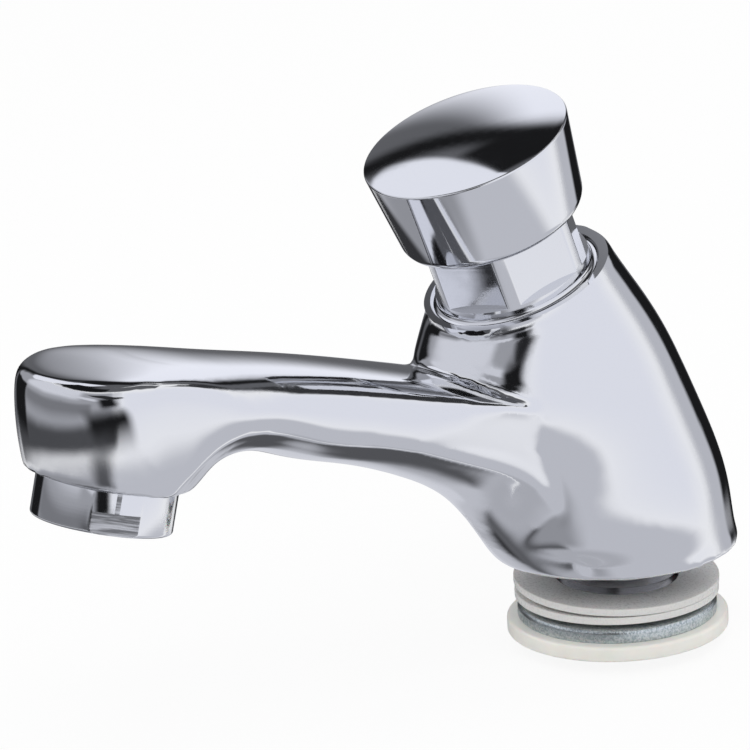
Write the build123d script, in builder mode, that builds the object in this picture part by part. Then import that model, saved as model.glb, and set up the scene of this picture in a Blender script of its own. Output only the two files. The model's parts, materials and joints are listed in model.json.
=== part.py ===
"""Push timed basin tap: a cast body whose valve leans forward under a sprung cap.

The origin is the centre of the body's underside, on the axis of the threaded inlet shank.
The spout points along -Y and +Z is up. All lengths are millimetres and angles are degrees.
"""

from build123d import *
import os
from math import acos, cos, degrees, pi, radians, sin, sqrt, tan

os.makedirs("parts", exist_ok=True)

# Cast body: a round foot, a valve barrel that leans forward, and its open collar
base_radius = 21.6
lean_angle = 20.0
collar_height = 55.4
collar_radius = 15.95
barrel_radius = 22.4
collar_rim_bevel = 0.4
valve_offset = 0.9
recess_radius = 14.3
recess_depth = 3.4
cartridge_bore_radius = 11.0

# Spout: a crowned bar that rises to a round, kicked-out head
outlet_reach = 103.6
outlet_height = 36.2
outlet_tilt = 15.4
crown_height = 56.2
crown_shoulder = 4.6
waist_half_width = 14.2
head_foot_radius = 14.1
head_top_radius = 16.0
head_rise = 21.0
head_top_shift = 1.6
waterway_radius = 3.6
waterway_start_reach = 10.0
waterway_start_height = 22.8
waterway_end_reach = 98.0
waterway_end_height = 48.4
outlet_chamber_radius = 6.0
outlet_chamber_depth = 13.5
under_half_width = 14.0

# Inlet shank and what clamps the tap to its deck
shank_diameter = 20.955
shank_bore_radius = 7.5
shank_drop = 17.6
shank_socket_depth = 7.0
shank_end_chamfer = 0.5
shank_end_radius = 9.6
shank_end_length = 2.7
shank_seal_wall = 1.6
shank_seal_thickness = 1.2
inlet_passage_radius = 7.0
inlet_passage_height = 15.0
clamp_bore_clearance = 0.35
deck_gasket_radius = 17.8
deck_gasket_thickness = 1.7
deck_gasket_tilt = 1.3
deck_gasket_tilt_turn = 53.3
clamp_washer_radius = 17.7
clamp_washer_thickness = 1.7
steel_washer_radius = 17.3
steel_washer_thickness = 2.5
steel_washer_edge_chamfer = 0.6
steel_washer_drop = 9.9
clamp_stack_gap = 1.0
clamp_face_gap = 0.15
nut_flange_radius = 19.2
nut_flange_thickness = 2.7
nut_hub_height = 2.0
nut_web_thickness = 1.3
nut_hub_wall = 2.4
nut_rim_wall = 1.4
nut_rib_thickness = 1.2
nut_rib_count = 8
nut_thread_clearance = 0.08
strainer_rim_thickness = 1.4
strainer_cup_depth = 7.0
strainer_wall = 0.8
strainer_recess_radius = 8.8
strainer_bay_radius = 8.2
strainer_bay_depth = 9.0
strainer_cup_radius = 6.6
strainer_land = 1.2
strainer_slot_width = 1.0
strainer_slot_count = 8

# Gland nut: the turned neck that closes the barrel
gland_seal_thickness = 0.8
gland_flange_radius = 14.0
gland_flange_thickness = 2.2
gland_nose_length = 9.4
neck_height = 12.8
neck_radius = 13.4
neck_across_flats = 24.2
flat_start_height = 2.1
gland_roof_thickness = 4.0
gland_roof_chamfer = 0.8
thread_clearance = 0.05
stem_running_clearance = 0.05
gland_seal_margin = 0.2
neck_cove = 0.4
seal_clearance = 0.03

# Stem, piston and valve that move with the cap
press_travel = 6.5
stem_radius = 4.0
stem_rod_radius = 2.5
stem_ring_width = 1.6
stem_ring_depth = 1.1
stem_ring_below_top = 1.2
clip_thickness = 0.9
clip_depth = 1.6
clip_groove_depth = 0.5
clip_gap = 0.2
clip_mouth_width = 4.4
piston_length = 6.0
piston_top = -9.0
piston_clearance = 0.06
stem_end_chamfer = 0.5
lip_seal_leg = 0.5
lip_seal_height = 1.8
lip_seal_depth = 1.4
lip_seal_offset = 2.0
valve_face_clearance = 0.1
valve_washer_radius = 5.4
valve_washer_thickness = 1.4
valve_disc_radius = 5.7
valve_disc_thickness = 1.6
rod_end_length = 1.0

# Timing sleeve and valve seat below it
sleeve_outer_radius = 10.3
sleeve_bore_radius = 8.2
sleeve_length = 17.3
sleeve_joint_gap = 0.3
sleeve_foot_radius = 10.9
sleeve_foot_thickness = 2.0
sleeve_window_radius = 2.0
sleeve_window_count = 4
sleeve_window_height = 5.1
sleeve_ring_drop = 2.4
sleeve_ring_width = 1.7
sleeve_ring_depth = 0.9
seat_plate_radius = 10.9
seat_plate_thickness = 2.4
seat_hole_radius = 3.7
seat_lip_radius = 4.9
seat_lip_height = 0.8
seat_ring_width = 1.2
seat_ring_depth = 1.0
valve_chamber_radius = 8.0
valve_chamber_depth = 12.0

# Return spring
spring_wire_radius = 0.45
spring_coil_radius = 6.0
spring_turns = 6
spring_end_clearance = 0.12

# Push cap
cap_gap = 11.1
cap_height = 15.9
cap_foot_radius = 15.7
cap_flare_angle = 7.0
cap_foot_fillet = 2.4
cap_wall = 1.7
cap_dome_radius = 62.0
cap_roof_thickness = 2.7
cap_boss_wall = 2.2
cap_boss_stop_gap = 0.4
cap_bush_wall = 1.2
cap_bush_length = 5.2
stem_socket_gap = 0.5
bush_clearance = 0.02
lock_nut_across_flats = 11.0
lock_nut_thickness = 2.5
cap_edge_chamfer = 0.3

# Aerator in the spout's head
aerator_radius = 11.5
aerator_drop = 7.0
aerator_thread_length = 7.6
aerator_cavity_radius = 10.4
aerator_cavity_depth = 9.2
spot_face_margin = 0.3
aerator_bore_radius = 9.0
aerator_lip_radius = 8.1
aerator_lip_thickness = 0.9
aerator_edge_chamfer = 0.5
aerator_washer_thickness = 1.5
aerator_washer_bore = 7.6
spanner_flat_across = 21.6
spanner_flat_height = 3.6
spanner_flat_turn = -25.0
screen_thickness = 0.6
screen_hole_radius = 0.5
screen_pitch = 1.5
mixer_height = 7.0
mixer_wall = 0.8
regulator_hole_radius = 0.9
regulator_hole_circle = 6.4
regulator_hole_count = 8
regulator_core_radius = 4.0
insert_clearance = 0.05
screen_holes_each_way = 5
mixer_slot_width = 1.6
mixer_slot_height = 3.0
mixer_slot_count = 6
mixer_deck = 1.0
regulator_land = 1.2

cut_overrun = 2.0

# Heights along the valve's axis, from the collar's rim
shank_radius = shank_diameter / 2
seal_top = gland_seal_thickness - recess_depth
flange_top = seal_top + gland_flange_thickness
gland_top = flange_top + neck_height
gland_ceiling = gland_top - gland_roof_thickness
nose_low = seal_top - gland_nose_length
sleeve_top = nose_low - sleeve_joint_gap
sleeve_low = sleeve_top - sleeve_length
seat_low = sleeve_low - seat_plate_thickness
seat_lip_low = seat_low - seat_lip_height
chamber_low = seat_low - valve_chamber_depth

# Directions, planes and axes that the pieces share
lean_dir = (0, -sin(radians(lean_angle)), cos(radians(lean_angle)))
outlet_dir = (0, sin(radians(outlet_tilt)), cos(radians(outlet_tilt)))
valve_foot = (0, -valve_offset * lean_dir[2], valve_offset * lean_dir[1])
collar_centre = (0, valve_foot[1] + collar_height * lean_dir[1], valve_foot[2] + collar_height * lean_dir[2])
outlet_centre = (0, -outlet_reach, outlet_height)
lean_axis = Axis(valve_foot, lean_dir)
outlet_axis = Axis(outlet_centre, outlet_dir)
rim_plane = Plane(origin=collar_centre, x_dir=(1, 0, 0), z_dir=lean_dir)
rim_profile = Plane(origin=collar_centre, x_dir=(1, 0, 0), z_dir=(0, -lean_dir[2], lean_dir[1]))
outlet_plane = Plane(origin=outlet_centre, x_dir=(1, 0, 0), z_dir=outlet_dir)
outlet_profile = Plane(origin=outlet_centre, x_dir=(1, 0, 0), z_dir=(0, -outlet_dir[2], outlet_dir[1]))


def turn(plane, axis, outline, mode=Mode.ADD):
    """Revolves a closed outline of (radius, height) points drawn on plane."""
    with BuildSketch(plane) as profile:
        with BuildLine():
            Polyline(*outline, close=True)
        make_face()
    revolve(profile.sketch, axis=axis, mode=mode)


def ring(plane, axis, inner, outer, low, high, mode=Mode.ADD):
    """Revolves a square-cornered ring between two radii and two heights."""
    turn(plane, axis, [(inner, low), (outer, low), (outer, high), (inner, high)], mode)


def finish(piece, name):
    """Labels a finished piece and writes its STEP file."""
    piece.part.label = name
    export_step(piece.part, f"parts/{name}.step")


# Cast body

# Barrel sections: height, tilt, back and side radius, and how far the front reaches, as shares
barrel_shares = [
    (0, 0, base_radius / barrel_radius, base_radius / barrel_radius),
    (0.16, 0.4, 0.995, 0.995),
    (0.34, 0.75, 0.99, 1.0),
    (0.54, 0.95, 0.945, 1.03),
    (0.74, 1, 0.87, 1.15),
    (0.86, 1, 0.795, 1.04),
    (0.93, 1, 0.75, 0.88),
    (1, 1, collar_radius / barrel_radius, collar_radius / barrel_radius),
]

with BuildPart() as barrel:
    for height_share, tilt_share, side_share, front_share in barrel_shares:
        tilt = radians(lean_angle * tilt_share)
        centre = (0, collar_height * height_share * lean_dir[1], collar_height * height_share * lean_dir[2])
        side = barrel_radius * side_share
        front = barrel_radius * front_share
        with BuildSketch(Plane(origin=centre, x_dir=(1, 0, 0), z_dir=(0, -sin(tilt), cos(tilt)))):
            with BuildLine():
                ThreePointArc((side, 0), (0, side), (-side, 0))
                EllipticalCenterArc((0, 0), side, front, start_angle=180, arc_size=180)
            make_face()
    loft()

# Crown sections: distance forward, height and half width, as shares
crown_shares = [
    (0.08, 0.500, 1.44),
    (0.21, 0.590, 1.33),
    (0.37, 0.700, 1.17),
    (0.515, 0.786, 1.06),
    (0.65, 0.858, 1.00),
    (0.78, 0.920, 1.02),
    (0.895, 0.972, 1.20),
    (1.02, 1.002, 1.60),
    (1.13, 1.002, 1.95),
    (1.25, 0.975, 2.10),
]
crown_point_shares = [0.35, 0.6, 0.8, 0.92]
crown_power = 2.5
crown_tangent_share = 0.6
slab_floor = -base_radius

with BuildPart() as crown_form:
    for reach_share, height_share, width_share in crown_shares:
        half = waist_half_width * width_share
        side_top = crown_height * height_share - crown_shoulder
        right = [
            (half * share, side_top + crown_shoulder * (1 - share**crown_power) ** (1 / crown_power))
            for share in crown_point_shares
        ]
        left = [(-x, z) for x, z in reversed(right)]
        with BuildSketch(Plane(origin=(0, -outlet_reach * reach_share, 0), x_dir=(1, 0, 0), z_dir=(0, -1, 0))):
            with BuildLine():
                Line((-half, slab_floor), (-half, side_top))
                Spline(
                    (-half, side_top),
                    *left,
                    (0, side_top + crown_shoulder),
                    *right,
                    (half, side_top),
                    tangents=[(0, 1), (0, -1)],
                    tangent_scalars=[crown_tangent_share, crown_tangent_share],
                )
                Line((half, side_top), (half, slab_floor))
                Line((half, slab_floor), (-half, slab_floor))
            make_face()
    loft()

# Underside line from the head's rear to the foot: forward, height, lift at the side, lift direction
under_shares = [
    (0.872, 0.899, 0.84, 165),
    (0.845, 0.940, 0.72, 152),
    (0.823, 0.990, 0.56, 138),
    (0.795, 1.002, 0.44, 114),
    (0.757, 0.985, 0.38, 92),
    (0.683, 0.902, 0.35, 78),
    (0.579, 0.800, 0.36, 70),
    (0.439, 0.628, 0.38, 60),
    (0.336, 0.435, 0.50, 45),
    (0.284, 0.267, 0.54, 25),
    (0.242, 0.106, 0.44, 12),
    (0.202, -0.028, 0.36, 0),
]
under_side_shares = [-1.7, -0.85, 0, 0.85, 1.7]
under_front_share = 1.3
under_back_share = 0.12
under_top_share = 1.45

with BuildPart() as underside_form:
    for side_share in under_side_shares:
        points = []
        for reach_share, height_share, lift_share, lift_angle in under_shares:
            lift = under_half_width * lift_share * side_share**2
            y = -outlet_reach * reach_share + lift * cos(radians(lift_angle))
            z = outlet_height * height_share + lift * sin(radians(lift_angle))
            points.append((y, z))
        front_y = -outlet_reach * under_front_share
        front_z = outlet_height + (-outlet_reach - front_y) * tan(radians(outlet_tilt))
        back_y = outlet_reach * under_back_share
        top_z = crown_height * under_top_share
        back_z = points[-1][1]
        section = Plane(origin=(under_half_width * side_share, 0, 0), x_dir=(0, 1, 0), z_dir=(1, 0, 0))
        with BuildSketch(section):
            with BuildLine():
                Line((front_y, front_z), points[0])
                Spline(*points)
                Line(points[-1], (back_y, back_z))
                Line((back_y, back_z), (back_y, top_z))
                Line((back_y, top_z), (front_y, top_z))
                Line((front_y, top_z), (front_y, front_z))
            make_face()
    loft()

# Head outline: a round front that opens backwards, wider at the top
head_back_share = 0.95
head_span_shares = (-1.2, 1.6)

with BuildPart() as head_form:
    for span_share in head_span_shares:
        radius = head_foot_radius + (head_top_radius - head_foot_radius) * span_share
        shift = head_top_shift * span_share
        rise = head_rise * span_share
        back = outlet_reach * head_back_share
        head_origin = (0, -outlet_reach + shift, outlet_height + rise)
        with BuildSketch(Plane(origin=head_origin, x_dir=(1, 0, 0), z_dir=outlet_dir)):
            with BuildLine():
                ThreePointArc((radius, 0), (0, -radius), (-radius, 0))
                Line((-radius, 0), (-radius, back))
                Line((-radius, back), (radius, back))
                Line((radius, back), (radius, 0))
            make_face()
    loft()

with BuildPart() as spout:
    add(crown_form.part)
    add(underside_form.part, mode=Mode.INTERSECT)
    add(head_form.part, mode=Mode.INTERSECT)

with BuildPart() as body:
    add(barrel.part)
    add(spout.part)
    split(bisect_by=Plane.XY)
    # Valve bore: bevelled mouth, recess, cartridge bore and valve chamber
    mouth_radius = recess_radius + collar_rim_bevel
    turn(
        rim_profile,
        lean_axis,
        [
            (0, cut_overrun),
            (mouth_radius + cut_overrun, cut_overrun),
            (recess_radius, -collar_rim_bevel),
            (recess_radius, -recess_depth),
            (cartridge_bore_radius, -recess_depth),
            (cartridge_bore_radius, seat_low),
            (valve_chamber_radius, seat_low),
            (valve_chamber_radius, chamber_low),
            (0, chamber_low),
        ],
        Mode.SUBTRACT,
    )
    # Socket for the shank, and the passage from it up to the valve chamber
    socket_radius = shank_radius + thread_clearance
    ring(Plane.XZ, Axis.Z, 0, socket_radius, -cut_overrun, shank_socket_depth, Mode.SUBTRACT)
    ring(Plane.XZ, Axis.Z, 0, inlet_passage_radius, 0, inlet_passage_height, Mode.SUBTRACT)
    # Waterway along the spout, and the aerator's cavity below its far end
    waterway_start = Vector(0, -waterway_start_reach, waterway_start_height)
    waterway_end = Vector(0, -waterway_end_reach, waterway_end_height)
    with BuildSketch(Plane(origin=waterway_start, x_dir=(1, 0, 0), z_dir=waterway_end - waterway_start)):
        Circle(waterway_radius)
    extrude(amount=(waterway_end - waterway_start).length, mode=Mode.SUBTRACT)
    turn(
        outlet_profile,
        outlet_axis,
        [
            (0, -cut_overrun),
            (aerator_radius + spot_face_margin, -cut_overrun),
            (aerator_radius + spot_face_margin, 0),
            (aerator_cavity_radius, 0),
            (aerator_cavity_radius, aerator_cavity_depth),
            (outlet_chamber_radius, aerator_cavity_depth),
            (outlet_chamber_radius, outlet_chamber_depth),
            (0, outlet_chamber_depth),
        ],
        Mode.SUBTRACT,
    )

finish(body, "body")


# Inlet shank and its seal in the body

shank_top = shank_socket_depth - shank_seal_thickness

with BuildPart() as inlet_shank:
    turn(
        Plane.XZ,
        Axis.Z,
        [
            (shank_bore_radius, -shank_drop),
            (shank_end_radius - shank_end_chamfer, -shank_drop),
            (shank_end_radius, -shank_drop + shank_end_chamfer),
            (shank_end_radius, -shank_drop + shank_end_length),
            (shank_radius, -shank_drop + shank_end_length),
            (shank_radius, shank_top),
            (strainer_recess_radius, shank_top),
            (strainer_recess_radius, shank_top - strainer_rim_thickness),
            (strainer_bay_radius, shank_top - strainer_rim_thickness),
            (strainer_bay_radius, shank_top - strainer_bay_depth),
            (shank_bore_radius, shank_top - strainer_bay_depth),
        ],
    )

finish(inlet_shank, "inlet_shank")

with BuildPart() as shank_seal:
    ring(Plane.XZ, Axis.Z, shank_radius - shank_seal_wall, shank_radius, shank_top, shank_socket_depth)

finish(shank_seal, "shank_seal")

# Strainer: a slotted cup hung by its rim in the top of the shank
with BuildPart() as inlet_strainer:
    strainer_low = shank_top - strainer_cup_depth
    rim_radius = strainer_recess_radius - thread_clearance
    turn(
        Plane.XZ,
        Axis.Z,
        [
            (0, strainer_low),
            (strainer_cup_radius, strainer_low),
            (strainer_cup_radius, shank_top - strainer_rim_thickness),
            (rim_radius, shank_top - strainer_rim_thickness),
            (rim_radius, shank_top),
            (strainer_cup_radius - strainer_wall, shank_top),
            (strainer_cup_radius - strainer_wall, strainer_low + strainer_wall),
            (0, strainer_low + strainer_wall),
        ],
    )
    slot_low = strainer_low + strainer_wall + strainer_land
    slot_high = shank_top - strainer_rim_thickness - strainer_land
    with BuildSketch(Plane.XY.offset(slot_low)):
        with PolarLocations(strainer_cup_radius - strainer_wall / 2, strainer_slot_count):
            Rectangle(strainer_wall + cut_overrun, strainer_slot_width)
    extrude(amount=slot_high - slot_low, mode=Mode.SUBTRACT)

finish(inlet_strainer, "inlet_strainer")


# Clamp stack on the shank: gasket, plain washer, steel washer and flanged nut

clamp_bore_radius = shank_radius + clamp_bore_clearance
steel_washer_low = -steel_washer_drop - steel_washer_thickness
clamp_washer_low = -steel_washer_drop + clamp_stack_gap
clamp_washer_top = clamp_washer_low + clamp_washer_thickness

# The gasket leans on one edge of the washer below it
gasket_tilt = radians(deck_gasket_tilt)
gasket_turn = radians(deck_gasket_tilt_turn)
gasket_dir = (sin(gasket_tilt) * cos(gasket_turn), sin(gasket_tilt) * sin(gasket_turn), cos(gasket_tilt))
gasket_low = clamp_washer_top + clamp_face_gap + deck_gasket_radius * sin(gasket_tilt)

with BuildPart() as deck_gasket:
    with BuildSketch(Plane(origin=(0, 0, gasket_low), z_dir=gasket_dir)):
        Circle(deck_gasket_radius)
        Circle(clamp_bore_radius, mode=Mode.SUBTRACT)
    extrude(amount=deck_gasket_thickness)

finish(deck_gasket, "deck_gasket")

with BuildPart() as clamp_washer:
    ring(Plane.XZ, Axis.Z, clamp_bore_radius, clamp_washer_radius, clamp_washer_low, clamp_washer_top)

finish(clamp_washer, "clamp_washer")

with BuildPart() as steel_washer:
    ring(Plane.XZ, Axis.Z, clamp_bore_radius, steel_washer_radius, steel_washer_low, -steel_washer_drop)
    rim_edge = steel_washer.edges().filter_by(GeomType.CIRCLE).group_by(Axis.Z)[-1].sort_by(SortBy.RADIUS)[-1]
    chamfer(rim_edge, steel_washer_edge_chamfer)

finish(steel_washer, "steel_washer")

# Flanged nut: a disc with a rim and a hub below it, joined by ribs
with BuildPart() as flange_nut:
    nut_low = steel_washer_low - nut_flange_thickness
    web_low = steel_washer_low - nut_web_thickness
    hub_low = steel_washer_low - nut_hub_height
    nut_bore_radius = shank_radius + nut_thread_clearance
    hub_radius = nut_bore_radius + nut_hub_wall
    rim_inner_radius = nut_flange_radius - nut_rim_wall
    turn(
        Plane.XZ,
        Axis.Z,
        [
            (nut_bore_radius, hub_low),
            (hub_radius, hub_low),
            (hub_radius, web_low),
            (rim_inner_radius, web_low),
            (rim_inner_radius, nut_low),
            (nut_flange_radius, nut_low),
            (nut_flange_radius, steel_washer_low),
            (nut_bore_radius, steel_washer_low),
        ],
    )
    rib_length = rim_inner_radius - hub_radius + nut_rim_wall
    with BuildSketch(Plane.XY.offset(hub_low)):
        with PolarLocations((rim_inner_radius + hub_radius) / 2, nut_rib_count):
            Rectangle(rib_length, nut_rib_thickness)
    extrude(amount=nut_hub_height - nut_web_thickness)

finish(flange_nut, "flange_nut")


# Gland seal and the gland nut that closes the barrel

with BuildPart() as gland_seal:
    seal_inner = cartridge_bore_radius + gland_seal_margin
    ring(rim_profile, lean_axis, seal_inner, gland_flange_radius, -recess_depth, seal_top)

finish(gland_seal, "gland_seal")

stem_bore_radius = stem_radius + stem_running_clearance
stem_ring_top = gland_top - stem_ring_below_top
stem_ring_low = stem_ring_top - stem_ring_width
stem_ring_outer = stem_bore_radius + stem_ring_depth

with BuildPart() as gland_nut:
    turn(
        rim_profile,
        lean_axis,
        [
            (sleeve_bore_radius, nose_low),
            (cartridge_bore_radius - thread_clearance, nose_low),
            (cartridge_bore_radius - thread_clearance, seal_top),
            (gland_flange_radius, seal_top),
            (gland_flange_radius, flange_top),
            (neck_radius + neck_cove, flange_top),
            (neck_radius, flange_top + neck_cove),
            (neck_radius, gland_top - gland_roof_chamfer),
            (neck_radius - gland_roof_chamfer, gland_top),
            (stem_bore_radius, gland_top),
            (stem_bore_radius, stem_ring_top),
            (stem_ring_outer, stem_ring_top),
            (stem_ring_outer, stem_ring_low),
            (stem_bore_radius, stem_ring_low),
            (stem_bore_radius, gland_ceiling),
            (sleeve_bore_radius, gland_ceiling),
        ],
    )
    # Six spanner flats, with a corner facing each side of the spout
    with BuildSketch(rim_plane.offset(flange_top + flat_start_height)):
        Circle(neck_radius + cut_overrun)
        RegularPolygon(neck_across_flats / 2, 6, major_radius=False, rotation=30, mode=Mode.SUBTRACT)
    extrude(amount=neck_height - flat_start_height, mode=Mode.SUBTRACT)

finish(gland_nut, "gland_nut")


def o_ring(inner, outer, height):
    """Revolves an eight-sided seal that fills a groove between two radii, centred at a height above the rim."""
    section_radius = (outer - inner) / 2 - seal_clearance
    with BuildSketch(rim_profile) as section:
        with Locations(((inner + outer) / 2, height)):
            RegularPolygon(section_radius, 8)
    revolve(section.sketch, axis=lean_axis)


with BuildPart() as stem_o_ring:
    o_ring(stem_bore_radius, stem_ring_outer, (stem_ring_top + stem_ring_low) / 2)

finish(stem_o_ring, "stem_o_ring")


# Timing sleeve: a windowed tube on a foot, sealed against the bore above its windows

with BuildPart() as cartridge_sleeve:
    ring_floor = sleeve_outer_radius - sleeve_ring_depth
    ring_top = sleeve_top - sleeve_ring_drop
    turn(
        rim_profile,
        lean_axis,
        [
            (sleeve_bore_radius, sleeve_low),
            (sleeve_foot_radius, sleeve_low),
            (sleeve_foot_radius, sleeve_low + sleeve_foot_thickness),
            (sleeve_outer_radius, sleeve_low + sleeve_foot_thickness),
            (sleeve_outer_radius, ring_top - sleeve_ring_width),
            (ring_floor, ring_top - sleeve_ring_width),
            (ring_floor, ring_top),
            (sleeve_outer_radius, ring_top),
            (sleeve_outer_radius, sleeve_top),
            (sleeve_bore_radius, sleeve_top),
        ],
    )
    window_plane = rim_plane.offset(sleeve_low + sleeve_window_height)
    for turn_share in range(sleeve_window_count):
        side = window_plane.rotated((0, 0, 360 * turn_share / sleeve_window_count))
        with BuildSketch(Plane(origin=side.origin, x_dir=side.z_dir, z_dir=side.x_dir)):
            Circle(sleeve_window_radius)
        extrude(amount=sleeve_outer_radius + cut_overrun, mode=Mode.SUBTRACT)

finish(cartridge_sleeve, "cartridge_sleeve")

with BuildPart() as sleeve_o_ring:
    o_ring(ring_floor, cartridge_bore_radius, ring_top - sleeve_ring_width / 2)

finish(sleeve_o_ring, "sleeve_o_ring")

# Valve seat: a plate with a raised lip around its hole on the underside
with BuildPart() as valve_seat:
    seat_groove_top = (sleeve_low + seat_low + seat_ring_width) / 2
    seat_groove_radius = seat_plate_radius - seat_ring_depth
    turn(
        rim_profile,
        lean_axis,
        [
            (seat_hole_radius, seat_lip_low),
            (seat_lip_radius, seat_lip_low),
            (seat_lip_radius, seat_low),
            (seat_plate_radius, seat_low),
            (seat_plate_radius, seat_groove_top - seat_ring_width),
            (seat_groove_radius, seat_groove_top - seat_ring_width),
            (seat_groove_radius, seat_groove_top),
            (seat_plate_radius, seat_groove_top),
            (seat_plate_radius, sleeve_low),
            (seat_hole_radius, sleeve_low),
        ],
    )

finish(valve_seat, "valve_seat")

with BuildPart() as seat_o_ring:
    o_ring(seat_groove_radius, cartridge_bore_radius, seat_groove_top - seat_ring_width / 2)

finish(seat_o_ring, "seat_o_ring")


# Plunger: stem, stop clip, piston with its lip seal, and the valve below the seat

piston_low = piston_top - piston_length
piston_radius = sleeve_bore_radius - piston_clearance
washer_top = seat_lip_low - valve_face_clearance
washer_low = washer_top - valve_washer_thickness
disc_low = washer_low - valve_disc_thickness
rod_low = disc_low - rod_end_length
boss_low = gland_top + press_travel + lock_nut_thickness + cap_boss_stop_gap
stem_top = boss_low + cap_bush_length - stem_socket_gap
clip_top = gland_ceiling - clip_gap

with BuildPart() as stem:
    turn(
        rim_profile,
        lean_axis,
        [
            (0, rod_low),
            (stem_rod_radius, rod_low),
            (stem_rod_radius, piston_top),
            (stem_radius, piston_top),
            (stem_radius, clip_top - clip_thickness),
            (stem_radius - clip_groove_depth, clip_top - clip_thickness),
            (stem_radius - clip_groove_depth, clip_top),
            (stem_radius, clip_top),
            (stem_radius, stem_top - stem_end_chamfer),
            (stem_radius - stem_end_chamfer, stem_top),
            (0, stem_top),
        ],
    )

finish(stem, "stem")

with BuildPart() as stem_clip:
    clip_inner = stem_radius - clip_groove_depth
    ring(rim_profile, lean_axis, clip_inner, clip_inner + clip_depth, clip_top - clip_thickness, clip_top)
    with BuildSketch(rim_plane.offset(clip_top - clip_thickness)):
        with Locations((0, clip_inner + clip_depth)):
            Rectangle(clip_mouth_width, (clip_inner + clip_depth) * 2)
    extrude(amount=clip_thickness, mode=Mode.SUBTRACT)

finish(stem_clip, "stem_clip")

with BuildPart() as piston:
    lip_top = piston_low + lip_seal_offset + lip_seal_height
    lip_floor = piston_radius - lip_seal_depth
    turn(
        rim_profile,
        lean_axis,
        [
            (stem_rod_radius, piston_low),
            (piston_radius, piston_low),
            (piston_radius, lip_top - lip_seal_height),
            (lip_floor, lip_top - lip_seal_height),
            (lip_floor, lip_top),
            (piston_radius, lip_top),
            (piston_radius, piston_top),
            (stem_rod_radius, piston_top),
        ],
    )

finish(piston, "piston")

# The lip seal opens downwards, towards the chamber that it meters
with BuildPart() as piston_lip_seal:
    lip_low = lip_top - lip_seal_height
    lip_outer = sleeve_bore_radius - seal_clearance
    turn(
        rim_profile,
        lean_axis,
        [
            (lip_floor, lip_low),
            (lip_floor + lip_seal_leg, lip_low),
            (lip_floor + lip_seal_leg, lip_top - lip_seal_leg),
            (lip_outer - lip_seal_leg, lip_low),
            (lip_outer, lip_low),
            (lip_outer, lip_top - lip_seal_leg),
            (piston_radius, lip_top),
            (lip_floor, lip_top),
        ],
    )

finish(piston_lip_seal, "piston_lip_seal")

with BuildPart() as valve_washer:
    ring(rim_profile, lean_axis, stem_rod_radius, valve_washer_radius, washer_low, washer_top)

finish(valve_washer, "valve_washer")

with BuildPart() as valve_disc:
    ring(rim_profile, lean_axis, stem_rod_radius, valve_disc_radius, disc_low, washer_low)

finish(valve_disc, "valve_disc")


# Return spring, between the seat plate and the piston

with BuildPart() as return_spring:
    end_gap = spring_wire_radius + spring_end_clearance
    spring_height = piston_low - sleeve_low - end_gap * 2
    spring_start = Vector(collar_centre) + Vector(lean_dir) * (sleeve_low + end_gap)
    with BuildLine() as coil:
        Helix(
            pitch=spring_height / spring_turns,
            height=spring_height,
            radius=spring_coil_radius,
            center=spring_start,
            direction=lean_dir,
        )
    with BuildSketch(Plane(origin=coil.line @ 0, z_dir=coil.line % 0)):
        RegularPolygon(spring_wire_radius, 6)
    sweep(path=coil.line, is_frenet=True)

finish(return_spring, "return_spring")


# Push cap: a flared skirt under a shallow dome

cap_low = cap_gap
cap_edge_height = cap_low + cap_height
cap_ceiling = cap_edge_height - cap_roof_thickness
flare = tan(radians(cap_flare_angle))
cap_edge_radius = cap_foot_radius + cap_height * flare
bush_outer = stem_bore_radius + cap_bush_wall
boss_radius = bush_outer + cap_boss_wall
bush_top = boss_low + cap_bush_length

with BuildPart() as push_cap:
    dome_top = cap_edge_height + cap_dome_radius - sqrt(cap_dome_radius**2 - cap_edge_radius**2)
    with BuildSketch(rim_profile) as cap_outline:
        with BuildLine():
            RadiusArc((0, dome_top), (cap_edge_radius, cap_edge_height), cap_dome_radius)
            Polyline((cap_edge_radius, cap_edge_height), (cap_foot_radius, cap_low), (0, cap_low), (0, dome_top))
        make_face()
    revolve(cap_outline.sketch, axis=lean_axis)
    chamfer(push_cap.edges().filter_by(lambda edge: edge.is_closed).sort_by(lean_axis)[-1], cap_edge_chamfer)
    fillet(push_cap.edges().filter_by(lambda edge: edge.is_closed).sort_by(lean_axis)[0], cap_foot_fillet)
    # Hollow the skirt around the boss, and bore the boss for its bush
    hollow_low = cap_low - cut_overrun
    turn(
        rim_profile,
        lean_axis,
        [
            (0, hollow_low),
            (cap_foot_radius - cap_wall - cut_overrun * flare, hollow_low),
            (cap_foot_radius - cap_wall + (cap_ceiling - cap_low) * flare, cap_ceiling),
            (boss_radius, cap_ceiling),
            (boss_radius, boss_low),
            (bush_outer, boss_low),
            (bush_outer, bush_top),
            (0, bush_top),
        ],
        Mode.SUBTRACT,
    )

finish(push_cap, "push_cap")

with BuildPart() as cap_bush:
    ring(rim_profile, lean_axis, stem_radius + bush_clearance, bush_outer, boss_low, bush_top)

finish(cap_bush, "cap_bush")

with BuildPart() as stem_lock_nut:
    with BuildSketch(rim_plane.offset(boss_low - lock_nut_thickness)):
        RegularPolygon(lock_nut_across_flats / 2, 6, major_radius=False)
        Circle(stem_radius + bush_clearance, mode=Mode.SUBTRACT)
    extrude(amount=lock_nut_thickness)

finish(stem_lock_nut, "stem_lock_nut")


# Aerator: threaded housing, screen, air mixer and flow regulator under a washer

lip_top_height = -aerator_drop + aerator_lip_thickness
screen_top = lip_top_height + screen_thickness
mixer_top = screen_top + mixer_height
insert_radius = aerator_bore_radius - insert_clearance

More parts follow.
